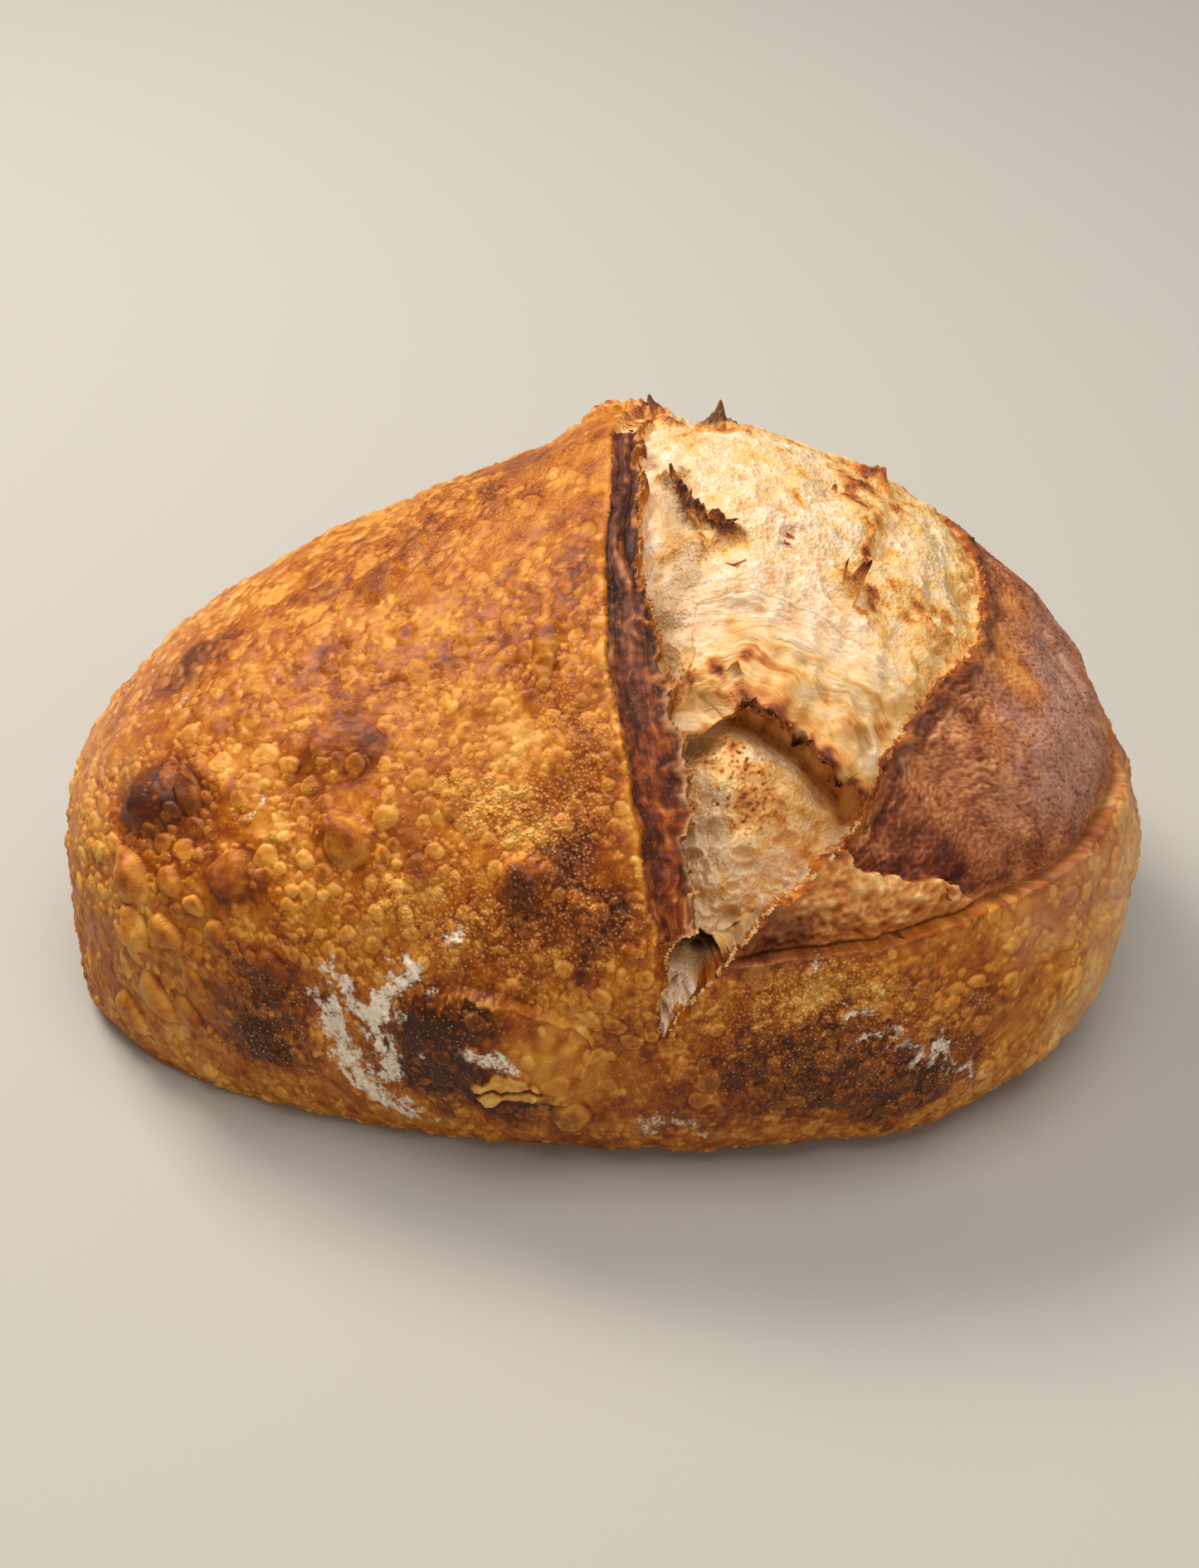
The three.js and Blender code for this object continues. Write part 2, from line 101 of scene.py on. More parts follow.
crustMap = {
    "cell": 0.28,  # mm to a raster cell
    "columns": 1680,
    "rows": 1280,
    "belly": 145,  # map radius of the widest place
    "foot": 203,  # and of the foot on the board
    "stretchU": 1.139,
    "stretchV": 0.861,
    "even": 0.0726,
    "footFade": (5, 26),
    "clearance": 0.05,
}
mapLeft = -crustMap["cell"] * crustMap["columns"] / 2
mapFront = -crustMap["cell"] * crustMap["rows"] / 2
mapU, mapV = np.meshgrid(
    mapLeft + crustMap["cell"] * np.arange(crustMap["columns"]),
    mapFront + crustMap["cell"] * np.arange(crustMap["rows"]),
)


def cellAt(u, v):
    return int((v - mapFront) / crustMap["cell"]), int((u - mapLeft) / crustMap["cell"])


def windowAt(u, v, radiusU, radiusV):  # the rows and columns of cells that an oval reaches
    row, column = cellAt(u, v)
    reach = int(max(radiusU, radiusV) * 1.5 / crustMap["cell"]) + 2
    return slice(row - reach, row + reach + 1), slice(column - reach, column + reach + 1)


def sample(raster, u, v):  # bilinear, and the raster repeats past its border
    x = (u - mapLeft) / crustMap["cell"]
    y = (v - mapFront) / crustMap["cell"]
    column, row = np.floor(x).astype(int), np.floor(y).astype(int)
    fx, fy = x - column, y - row
    column %= crustMap["columns"]
    row %= crustMap["rows"]
    nextColumn = (column + 1) % crustMap["columns"]
    nextRow = (row + 1) % crustMap["rows"]
    front = raster[row, column] * (1 - fx) + raster[row, nextColumn] * fx
    back = raster[nextRow, column] * (1 - fx) + raster[nextRow, nextColumn] * fx
    return front * (1 - fy) + back * fy


def cloud(seed, size, stretch=1.0):  # seeded soft noise of one size, drawn out along u by stretch
    noise = np.random.default_rng(seed).standard_normal(mapU.shape)
    alongU = np.fft.rfftfreq(crustMap["columns"], crustMap["cell"])[None, :] * stretch
    alongV = np.fft.fftfreq(crustMap["rows"], crustMap["cell"])[:, None]
    wave = 2 * (math.pi * size / 3) ** 2 * (alongU**2 + alongV**2)
    kept = np.fft.irfft2(np.fft.rfft2(noise) * np.exp(-wave) * (1 - np.exp(-6 * wave)), mapU.shape)
    return kept / kept.std()


def clouds(base, *layers):  # noise of several sizes over a base, each (amount, seed, size)
    for amount, seed, size in layers:
        base = base + amount * cloud(seed, size)
    return base


def streaks(seed, size, stretch, u, v, degrees=0.0):  # drawn-out noise, laid along any coordinates
    return sample(cloud(seed, size, stretch), *turned(u, v, degrees))


warpU, warpV = clouds(0, (2.2, 11, 16), (0.8, 13, 5)), clouds(0, (2.2, 12, 16), (0.8, 14, 5))


def warped(amount):  # the map's places, each moved a little by the same soft noise
    return mapU + amount * warpU, mapV + amount * warpV


def patches(places):  # soft, uneven-edged patches, each (u, v, radius u, radius v, turn, amount)
    total = np.zeros(mapU.shape)
    for u, v, radiusU, radiusV, degrees, amount in places:
        across, up = turned(mapU + warpU - u, mapV + warpV - v, degrees, radiusU, radiusV)
        total += amount * np.exp(-((across**2 + up**2) ** 1.6))
    return total


# the torn lines, as map points from front to back or left to right

tornLines = {
    "earLip": [
        (9, -124), (7, -108), (7.8, -93), (5.2, -85), (3, -71), (1.1, -55), (-2, -38), (-3.2, -20),
        (-3, -1), (-1.8, 17), (-1.1, 32), (0.6, 42), (3, 58), (7, 77), (12, 97),
    ],
    "earEdge": [
        (10, -120), (8, -111), (10, -102), (9.7, -96), (15.5, -88.5), (11.8, -83.5), (10, -77),
        (9.7, -65), (9, -54), (6.5, -41), (3.9, -28), (2.1, -11), (2.4, 4), (3.2, 22), (4.2, 41),
        (7, 60), (11, 78), (15, 97),
    ],
    "rightRim": [
        (10, -120), (16.6, -107.5), (23.4, -98.2), (28.3, -91), (32.5, -83), (38.5, -77), (44.6, -67),
        (48.5, -60), (51.5, -49.5), (56, -39), (65.6, -24.6), (73, -15.8), (80, -5), (83.8, 10),
        (85.3, 26), (83.5, 42), (75, 66), (58, 84), (38, 94), (15, 97),
    ],
    "shelf": [
        (4, -34.5), (8, -37), (13, -41.5), (18, -37.5), (22.6, -35.3), (28, -36.5), (33.2, -39.6),
        (38.6, -43.4), (43, -48), (47, -52), (49.5, -60),
    ],
    "fold": [
        (22.5, -98.6), (36.2, -95.1), (48.5, -91.5), (58, -87.7), (76.5, -76.5), (96.3, -62),
        (112.3, -44), (122.6, -27.2), (131.5, -11.5), (137, 7), (137, 34),
    ],
    "flakeEdge": [
        (41, -65.5), (46, -70.3), (52.8, -72.8), (59.7, -72.3), (65.5, -71), (70.5, -70),
        (75.3, -72.4), (82, -73),
    ],
    "sideCrease": [(97, 24), (103.7, 20), (109.6, 16.7), (112.7, 12), (116.3, 1.7), (119, -8)],
}
raggedness = {  # how far each line strays, in mm
    "earLip": 0.2, "earEdge": 1.0, "rightRim": 0.7, "shelf": 0.4, "fold": 0.2, "flakeEdge": 0.8,
    "sideCrease": 0.8,
}
lines = {name: smoothLine(points) for name, points in tornLines.items()}
strayU, strayV = 0.7 * cloud(21, 5) + 0.24 * cloud(23, 1.6), 0.7 * cloud(22, 5) + 0.24 * cloud(24, 1.6)


class Near:  # a raster's distance from a line (+ on its right), share and length passed, and way left
    pass


def measure(name, margin=34.0):
    line = lines[name]
    low, high = line.min(0) - margin, line.max(0) + margin
    rows = slice(*np.searchsorted(mapV[:, 0], (low[1], high[1])))
    columns = slice(*np.searchsorted(mapU[0], (low[0], high[0])))
    u = (mapU + raggedness[name] * strayU)[rows, columns].astype(np.float32)
    v = (mapV + raggedness[name] * strayV)[rows, columns].astype(np.float32)
    best = np.full(u.shape, np.inf, np.float32)
    found = {key: np.zeros(u.shape, np.float32) for key in ("side", "share", "along", "leftU", "leftV")}
    passed = 0.0
    for number, (start, end) in enumerate(zip(line[:-1], line[1:])):
        length = math.dist(start, end)
        wayU, wayV = (end - start) / length
        reach = np.clip((u - start[0]) * wayU + (v - start[1]) * wayV, 0, length)
        du, dv = u - start[0] - reach * wayU, v - start[1] - reach * wayV
        distance = np.hypot(du, dv)
        closer = distance < best
        best[closer] = distance[closer]
        found["side"][closer] = np.where(du * wayV - dv * wayU < 0, -1, 1)[closer]
        found["share"][closer] = ((number + reach / length) / (len(line) - 1))[closer]
        found["along"][closer] = (passed + reach)[closer]
        found["leftU"][closer] = -wayV
        found["leftV"][closer] = wayU
        passed += length
    near = Near()
    chordU, chordV = line[-1] - line[0]
    rightOfChord = (mapU - line[0][0]) * chordV - (mapV - line[0][1]) * chordU > 0
    near.distance = np.where(rightOfChord, 1e3, -1e3)
    near.distance[rows, columns] = best * found["side"]
    for key in ("share", "along", "leftU", "leftV"):
        whole = np.zeros(mapU.shape)
        whole[rows, columns] = found[key]
        setattr(near, key, whole)
    return near


def fromLine(name, points, wander, margin=10):  # the distance from one more line
    lines[name] = smoothLine(points)
    raggedness[name] = wander
    return measure(name, margin).distance


def insideOpening():
    u = mapU + raggedness["earEdge"] * strayU
    v = mapV + raggedness["earEdge"] * strayV
    inside = np.zeros(u.shape, bool)
    outline = np.concatenate([lines["earEdge"], lines["rightRim"][::-1]])
    for a, b in zip(outline, np.roll(outline, -1, 0)):
        if a[1] == b[1]:
            continue
        crosses = (a[1] > v) != (b[1] > v)
        inside ^= crosses & (u < (b[0] - a[0]) * (v - a[1]) / (b[1] - a[1]) + a[0])
    return inside


print("measuring the torn lines")
lip, edge, rim, shelf, fold, flake, crease = (
    measure(name) for name in ("earLip", "earEdge", "rightRim", "shelf", "fold", "flakeEdge", "sideCrease")
)
isOpen = insideOpening()
plainEdge = fromLine("plainEdge", tornLines["earEdge"], 0, 20)
plainShelf = fromLine("plainShelf", tornLines["shelf"], 0, 20)
depthIn = np.where(isOpen, 1, -1) * np.minimum(abs(edge.distance), abs(rim.distance))
fromFoot = crustMap["foot"] - np.hypot(mapU / crustMap["stretchU"], mapV / crustMap["stretchV"])
standing = ease(*crustMap["footFade"], fromFoot)

# the loaf's main form follows the frame's solid

tornForm = {
    "tear": 1.4,  # how far a torn wall spreads on the map
    "earSwell": (3, 18),  # rise and width, and so on below
    "earStart": (-128, -88),  # the rows between which it begins
    "earEnd": (80, 100),  # and ends
    "earFar": (0.3, 34, 52),  # what is left of it far back, and from where to where it sinks
    "earCut": (0.9, 1.2),  # the cut face's hollow and its drop
    "cutStart": (-104, -90),
    "cutEnd": (76, 96),
    "earReach": (4, 0.25, -30, 5),  # the ear's overhang in front, its share behind, the rows between
    "reachStart": (-96, -80),
    "reachEnd": (70, 95),
    "cliff": [
        (-123, 2), (-110, 9), (-96, 13), (-70, 14), (-48, 13), (-38, 10), (-24, 7), (0, 5), (22, 3.4),
        (45, 2.6), (80, 2), (97, 0.5),
    ],
    "mound": (1.6, 10),
    "cliffWidth": 13,
    "shelfLip": (1.6, 7),
    "shelfGrip": (0.12, 0.85),  # the shares of a line where its form is whole
    "rimGroove": (2.2, 5),
    "shelfReach": 4,
    "hollow": (11.5, 7, 8, 2),
    "hollowDeepens": (-92, -66),
    "hollowStart": (-102, -92),
    "cleft": (2.4, 5, 2.6),
    "cleftStart": (-118, -106),
    "pocket": 17,
    "rimLift": (1.2, 5),
    "rimStart": (-124, -112),
    "rimEnd": (50, 80),
    "foldLip": (1.9, 10),
    "foldValley": (2.6, 7),
    "foldGrip": (0.08, 0.55),
    "foldSoft": (0.1, 1.8, 0.25, 0.6),  # half its width in front, what it gains, and from where to where
    "foldReach": 0.5,
    "foldReachGrip": (0.12, 0.7),
    "flakeLift": (2.6, 7, 5),
    "flakeGrip": (0.1, 0.75),
    "crease": (1.3, 2.5),
    "creaseGrip": (0.2, 0.7),
    "overhang": 4,
}
cleftPocket = {
    "lip": [(9, -90.5), (14, -92.5), (18.3, -94.8), (23.7, -97.9), (27, -99.6)],
    "wander": 0.8,
    "reach": 20,
    "opens": (-0.2, 1.0),  # mm past the lip
    "closes": (5, 10),
    "rightEnd": 30,
}
lumps = [  # u, v, radius u, radius v, rise
    (0, 56, 14, 28, 4.6), (104, 36, 26, 24, 2), (-95, 45, 32, 26, 1.5), (92, -27, 34, 28, 4),
    (56, -63.5, 7, 5, -3), (-208, -52, 34, 40, 3.5), (116, -132, 24, 14, 2.2), (22, -51, 12, 8, 2.5),
    (42, 0, 26, 34, 1.5),
]
largeBlisters = [  # u, v, radius u, radius v, turn, rise
    (-39, -121, 31, 16, -14, 4.5), (-108, -33, 11, 9, 20, 3.2), (-94.5, -30.5, 5, 6.5, 0, 2),
    (-61, -38, 9, 8, 0, 1), (-20, -80, 9, 7, 0, 1.4), (-118, -98, 15, 10, 0, 1.6),
    (-124.6, -51, 7, 7, 0, 1.8), (-62, -61, 7, 8, 0, 1.8), (-93, -63, 7, 6, 0, 1.6),
    (-14.6, -23.7, 6, 6, 0, 1.4), (-141, -62, 8, 6, 0, 1.6), (57, -122, 17, 9, 10, 1.4),
    (92, -116, 12, 9, 0, 1.4),
]
tornPoints = [  # u, v, height, width, thickness, turn, bluntness
    (6, 58, 4.6, 15, 9, 0, 0.55), (-3, 59, 3.6, 13, 9, 0, 0.55), (7.5, 57.5, 5.6, 7, 6, 0, 0.8),
    (19.6, 56, 7.4, 5.6, 5, 10, 0.8), (20, 55.6, 2.4, 13, 7, 10, 0.7),
    (59.5, 44, 3, 11, 6, -30, 0.85), (48, -4, 3, 9, 5, -70, 0.85), (12, 53, 2.4, 9, 7, -30, 0.7),
]
burntRidge = {
    "line": [(10.2, 21), (12, 16), (14.4, 11.8), (17, 8.2), (21, 5)],
    "wander": 1.6,
    "height": 3.0,
    "width": 2.3,
}


def softForms():
    rise = np.zeros(mapU.shape)
    for u, v, radiusU, radiusV, height in lumps:
        rise += height * bell(mapU - u, radiusU) * bell(mapV - v, radiusV)
    placeU, placeV = warped(0.5)
    for u, v, radiusU, radiusV, degrees, height in largeBlisters:
        across, up = turned(placeU - u, placeV - v, degrees, radiusU, radiusV)
        rise += height * np.maximum(1 - across**2 - up**2, 0) ** 0.8
    return rise


pocketLip = fromLine("pocketLip", cleftPocket["lip"], cleftPocket["wander"], cleftPocket["reach"])
byPocket = mapU < cleftPocket["rightEnd"]
pocket = ease(*cleftPocket["opens"], pocketLip) * (1 - ease(*cleftPocket["closes"], pocketLip))
pocket = pocket * (abs(pocketLip) < cleftPocket["reach"]) * byPocket


def earForm():  # the raised lip and the cut face below it
    form = tornForm
    farShare, farStart, farEnd = form["earFar"]
    far = mix(1, farShare, ease(farStart, farEnd, mapV))
    swell = form["earSwell"][0] * far * ease(*form["earStart"], mapV) * (1 - ease(*form["earEnd"], mapV))
    cutFace = ease(*form["cutStart"], mapV) * (1 - ease(*form["cutEnd"], mapV))
    across = unit(lip.distance / np.maximum(lip.distance - edge.distance, 1e-3))
    hollow, drop = form["earCut"]
    onBand = (lip.distance >= 0) & (edge.distance < 0)
    rise = np.where(lip.distance < 0, swell * bell(lip.distance, form["earSwell"][1]), 0)
    rise += np.where(onBand, swell - cutFace * (drop * across + hollow * np.sin(math.pi * across)), 0)
    return rise, across, onBand


def rightForm():  # right of the opening: its lifted rim, the fold, the flake and the crease
    form = tornForm
    lift, width = form["rimLift"]
    right = lift * bell(rim.distance, width) * ease(*form["rimStart"], mapV)
    right = right * (1 - ease(*form["rimEnd"], mapV))
    narrow, gain, softens, soft = form["foldSoft"]
    foldSoft = narrow + gain * ease(softens, soft, fold.share)
    right += grip(fold.share, *form["foldGrip"]) * mix(
        -form["foldValley"][0] * bell(fold.distance, form["foldValley"][1]),
        form["foldLip"][0] * bell(fold.distance, form["foldLip"][1]),
        ease(-foldSoft, foldSoft, fold.distance),
    )
    flakeLift = form["flakeLift"][0] * grip(flake.share, *form["flakeGrip"])
    right += np.where(
        flake.distance > 0,
        flakeLift * bell(flake.distance, form["flakeLift"][1]),
        -flakeLift * bell(flake.distance, form["flakeLift"][2]),
    )
    depth, width = form["crease"]
    right -= depth * bell(crease.distance, width) * grip(crease.share, *form["creaseGrip"])
    return np.where(rim.distance > 0, right, 0)


def crumbForm():  # the mound behind the shelf, the hollow before it and the cleft
    form = tornForm
    fromEdge, fromRim = abs(edge.distance), abs(rim.distance)
    cliff = np.interp(mapV, *zip(*form["cliff"]))
    mound = (
        form["mound"][0] * (1 - np.exp(-fromEdge / form["mound"][1]))
        - cliff * bell(fromEdge, form["cliffWidth"])
        - form["rimGroove"][0] * bell(fromRim, form["rimGroove"][1])
        + form["shelfLip"][0] * bell(shelf.distance, form["shelfLip"][1])
    )
    fromWall = np.minimum(np.minimum(fromEdge, fromRim), abs(shelf.distance))
    depth, belly, wallWidth, deepens = form["hollow"]
    cavern = belly * (1 - bell(fromWall, wallWidth)) - depth
    cavern = cavern - deepens * (1 - ease(*form["hollowDeepens"], mapV))
    cleftEdge, deepest, wide = form["cleft"]
    cleft = -cleftEdge - deepest * (1 - bell(fromWall, wide)) * ease(*form["cleftStart"], mapV)
    lower = mix(cleft, cavern, ease(*form["hollowStart"], mapV))
    lower = mix(lower, -form["pocket"], pocket)
    return mix(mound, lower, ease(0, form["tear"], shelf.distance))


def overhang(distance, plainDistance, reach):
    behind = reach * bell(np.minimum(plainDistance, 0), tornForm["overhang"])
    return np.where(distance < 0, behind, reach * (1 - ease(0, tornForm["tear"], distance)))


def slides():  # how far the torn edges hang over, along u and along v
    form = tornForm
    earReach, share, whole, thin = form["earReach"]
    reach = earReach * mix(1, share, ease(whole, thin, mapV))
    reach = reach * ease(*form["reachStart"], mapV) * (1 - ease(*form["reachEnd"], mapV))
    overEdge = -overhang(edge.distance, plainEdge, reach) * standing
    ends = grip(shelf.share, *form["shelfGrip"]) * ease(0, form["shelfReach"], depthIn)
    hanging = -overhang(shelf.distance, plainShelf, form["shelfReach"]) * ends
    hanging = np.where(isOpen, hanging, 0) * standing
    overFold = overhang(-fold.distance, -fold.distance, form["foldReach"])
    overFold = overFold * grip(fold.share, *form["foldReachGrip"])
    overFold = np.where(rim.distance > 0, overFold, 0) * standing
    alongU = edge.leftU * overEdge + shelf.leftU * hanging + fold.leftU * overFold
    alongV = edge.leftV * overEdge + shelf.leftV * hanging + fold.leftV * overFold
    return alongU, alongV


def pointForms():  # the torn points that stand up, and how near each place is to a tip
    rise, tip = np.zeros(mapU.shape), np.zeros(mapU.shape)
    placeU, placeV = warped(0.5)
    uneven = clouds(1, (0.1, 111, 2.2))
    for u, v, height, width, thickness, degrees, blunt in tornPoints:
        across, up = turned(placeU - u, placeV - v, degrees, width / 2, thickness / 2)
        share = unit(1 - np.hypot(across, up) * uneven)
        rise = np.maximum(rise, height * share**blunt)
        tip = np.maximum(tip, share)
    return rise, tip


print("shaping the torn loaf")
rise, acrossBand, onBand = earForm()
rise += rightForm()
rise = np.where(isOpen, mix(rise, crumbForm(), ease(0, tornForm["tear"], depthIn)), rise)
slideU, slideV = slides()
pointRise, pointTip = pointForms()
ridgeNear = bell(fromLine("burntRidge", burntRidge["line"], burntRidge["wander"]), burntRidge["width"])
ridgeUneven = np.clip(clouds(0.8, (0.25, 115, 2.6), (0.22, 116, 1.1)), 0.1, 1.5)
pointRise = pointRise * clouds(1, (0.1, 112, 1.2)) + burntRidge["height"] * ridgeNear * ridgeUneven
rise += softForms() + pointRise

# masks of the loaf's parts, 1 on each
hump = unit(3 * pointTip * bell(mapU - 3, 12) * bell(mapV - 57, 8)) * (mapU < 14)  # the crown's torn point
earTop = ease(33, 39, mapV - 5 * (acrossBand - 0.5) + 0.9 * cloud(128, 2))
earRoot = onBand * earTop * (1 - ease(66, 84, mapV))
hump = np.maximum(hump, earRoot)
opened = ease(0, 1.2, depthIn)  # the crumb
band = onBand * ease(-94.5, -92, mapV + 0.4 * cloud(128, 2)) * (1 - earTop)  # the ear's cut face
overShelf = opened * (1 - ease(-0.5, 1.5, shelf.distance))  # the crumb's upper mound
lobe = ease(-1, 3, rim.distance) * (1 - ease(-5, 3, fold.distance)) * (1 - ease(40, 80, mapV))
lobe *= 1 - ease(128, 150, mapU)
onFlake = ease(-1, 1, flake.distance) * lobe * (1 - ease(78, 92, mapU)) * (1 - ease(-62, -52, mapV))
crusty = (1 - opened) * (1 - band)

# the plain loaf under the relief, with the frame's own values

plainForm = {
    "halfLength": 123.5,
    "frontReach": 79,
    "backReach": 113.5,
    "middle": (5.13, -16.67),
    "bellyHeight": 41.3,
    "crownRise": 54,
    "dome": (0.97, 0.92),
    "peak": (22, 24, 16, 68, 77, 41, 71),
    "threeSided": -0.037,
    "foot": (0.88, -0.062, 0.066),
}


def plainLoaf(u, v):
    form = plainForm
    a, b = u / crustMap["stretchU"], v / crustMap["stretchV"]
    radius = np.hypot(a, b) + 1e-9
    cos, sin = a / radius, b / radius
    share = np.minimum(radius / crustMap["belly"], 1)
    tilt = math.pi / 2 * share - crustMap["even"] * np.sin(math.pi * share)
    domeReach = np.sin(tilt) ** form["dome"][0]
    domeHeight = form["bellyHeight"] + form["crownRise"] * np.maximum(np.cos(tilt), 0) ** form["dome"][1]
    low = np.clip((radius - crustMap["belly"]) / (crustMap["foot"] - crustMap["belly"]), 0, 1) * math.pi / 2
    foot = form["foot"][0] + form["foot"][1] * cos + form["foot"][2] * (cos * cos - sin * sin)
    onDome = radius < crustMap["belly"]
    reach = np.where(onDome, domeReach, foot + (1 - foot) * np.cos(low))
    height = np.where(onDome, domeHeight, form["bellyHeight"] * (1 - np.sin(low)))
    plan = reach * (1 + form["threeSided"] * cos * (4 * cos * cos - 3))
    front, back = form["frontReach"], form["backReach"]
    x = form["middle"][0] + form["halfLength"] * plan * cos
    y = form["middle"][1] + ((back + front) / 2 + (back - front) / 2 * sin) * plan * sin
    lift, peakX, peakY, spreadX, spreadY, startsAt, fullAt = form["peak"]
    peak = lift * bell(x - peakX, spreadX) * bell(y - peakY, spreadY) * ease(startsAt, fullAt, height)
    return np.stack([x, y, height + peak], -1)


def plainNormal(u, v, step=0.5):
    alongU = plainLoaf(u + step, v) - plainLoaf(u - step, v)
    alongV = plainLoaf(u, v + step) - plainLoaf(u, v - step)
    normal = np.cross(alongU, alongV)
    return normal / np.linalg.norm(normal, axis=-1, keepdims=True)


# the crust: bake, blisters, char and flour

blisterField = {
    "seed": 5,
    "candidates": 170000,
    "reach": (225, 172),  # mm of the map to each side that they fall on
    "kept": 0.12,  # the share of them that stays where nothing else says
    "noise": [(0.8, 31, 8), (0.3, 32, 22)],  # that makes this share uneven: amount, seed, size
    "onBand": 0.35,
    "radius": (0.42, 0.4, 3.2),  # smallest, mean above it, largest
    "largeShare": 0.035,  # of the candidates, these are
    "largeRadius": (1.3, 2.5),
    "rise": 0.46,  # of a small blister, as a share of its radius
    "flatRise": 0.27,  # of a large one
    "namedRise": 1.5,  # how much higher a placed one stands
    "uneven": [(0.08, 2), (0.06, 3), (0.03, 5)],  # depth and number of the waves round one
    "space": 0.85,
    "roundness": (0.75, 1.35),
    "lightness": (1.2, 1.2),
    "riseRange": (0.6, 1.15),
}
namedBlisters = [  # u, v, radius u, radius v, how pale
    (-73, 5, 2.8, 3.8, 0.7), (-69, -1, 2.4, 3.2, 0.6), (-51, 12, 5, 7, 0.15), (-43, 6, 3.8, 5.2, 0.3),
    (-49, -5, 2.7, 4, 0.7), (-31, -13, 2.9, 4.4, 0.5), (-15, -23, 3.8, 5, 0.3),
    (-24, -24, 2.1, 2.9, 1.0), (-20, -24.5, 2.1, 2.9, 0.9), (-16, -30, 2.6, 3.2, 0.7),
    (-50, -34, 2, 2.8, 0.9), (-72, -38, 2.2, 2.8, 1.0), (-97, -36, 3.4, 6, 0.45),
    (-62, -64, 5.4, 6.6, 0.4), (-52, -60, 2.9, 3.4, 0.7), (-73, -65, 2.3, 2.7, 1.0),
    (-93, -62, 6, 6.4, 0.25), (-123, -50, 5.4, 8, 0.5), (-108, -66, 3.4, 3.4, 0.7),
    (-112, -57, 3.6, 5, 0.4), (-46, -75, 3.8, 4, 0.15), (-37, -60, 3.2, 3.6, 0.3),
    (-22, -82, 6, 6.2, 0.1), (-136, -61, 5.4, 7, 0.6), (-124, -68, 5, 6, 0.5), (-150, -74, 6, 7, 0.6),
    (-172, -66, 6, 7, 0.5), (-95, -90, 5, 5.4, 0.1), (-106, -110, 2.8, 2.8, 0.8),
    (-14, -101, 2.2, 2.3, 1.0), (-5, -108, 2.7, 2.9, 0.6), (-17, -141, 6, 5, 0.7),
    (-27, -105, 2.1, 2.2, 0.5), (-107, -76, 4.6, 4.8, 0.2), (87, -91, 2.5, 2.1, 0.9),
    (98, -88, 3, 2.4, 0.6), (61, -100, 1.9, 2, 0.5), (66, -90, 2, 1.6, 0.4), (66, -127, 3.4, 3.6, 0.1),
    (44, -128, 3.4, 3.4, 0.3), (105, -50, 2.8, 2, 0.5), (123, -55, 3.6, 2.6, 0.4),
    (-142, -84, 5, 5, 0.4), (-128, -82, 4, 4.6, 0.3),
]
blisterDensity = [  # u, v, radius u, radius v, turn, share of candidates kept
    (-40, -12, 52, 50, 0, 0.5), (-15, -50, 22, 70, 0, 0.34), (-100, -50, 50, 50, 0, 0.15),
    (-60, -95, 60, 30, 0, 0.2), (70, -118, 60, 22, 0, 0.7), (130, -60, 22, 50, 20, 0.3),
    (-80, 60, 70, 60, 0, 0.12), (-12, 34, 20, 36, 0, -0.45), (60, 130, 120, 40, 0, 0.2),
    (45, -104, 30, 12, 12, 0.3),
]
smoothPlaces = [(-109, -32, 10, 9, 20, 0.8), (-61, -38, 9, 7, 0, 0.6), (-22, -119, 15, 10, -20, 0.8)]
blisterSize = [  # and by what share they are larger than elsewhere
    (-135, -65, 26, 50, 0, 0.7), (-150, -90, 30, 40, 0, 0.3), (-95, -20, 40, 40, 0, 0.2),
    (130, -50, 30, 50, 0, 0.5), (-60, 40, 50, 40, 0, 0.3), (74, -116, 44, 22, 0, 0.6),
    (0, -128, 50, 14, 0, 0.3),
]


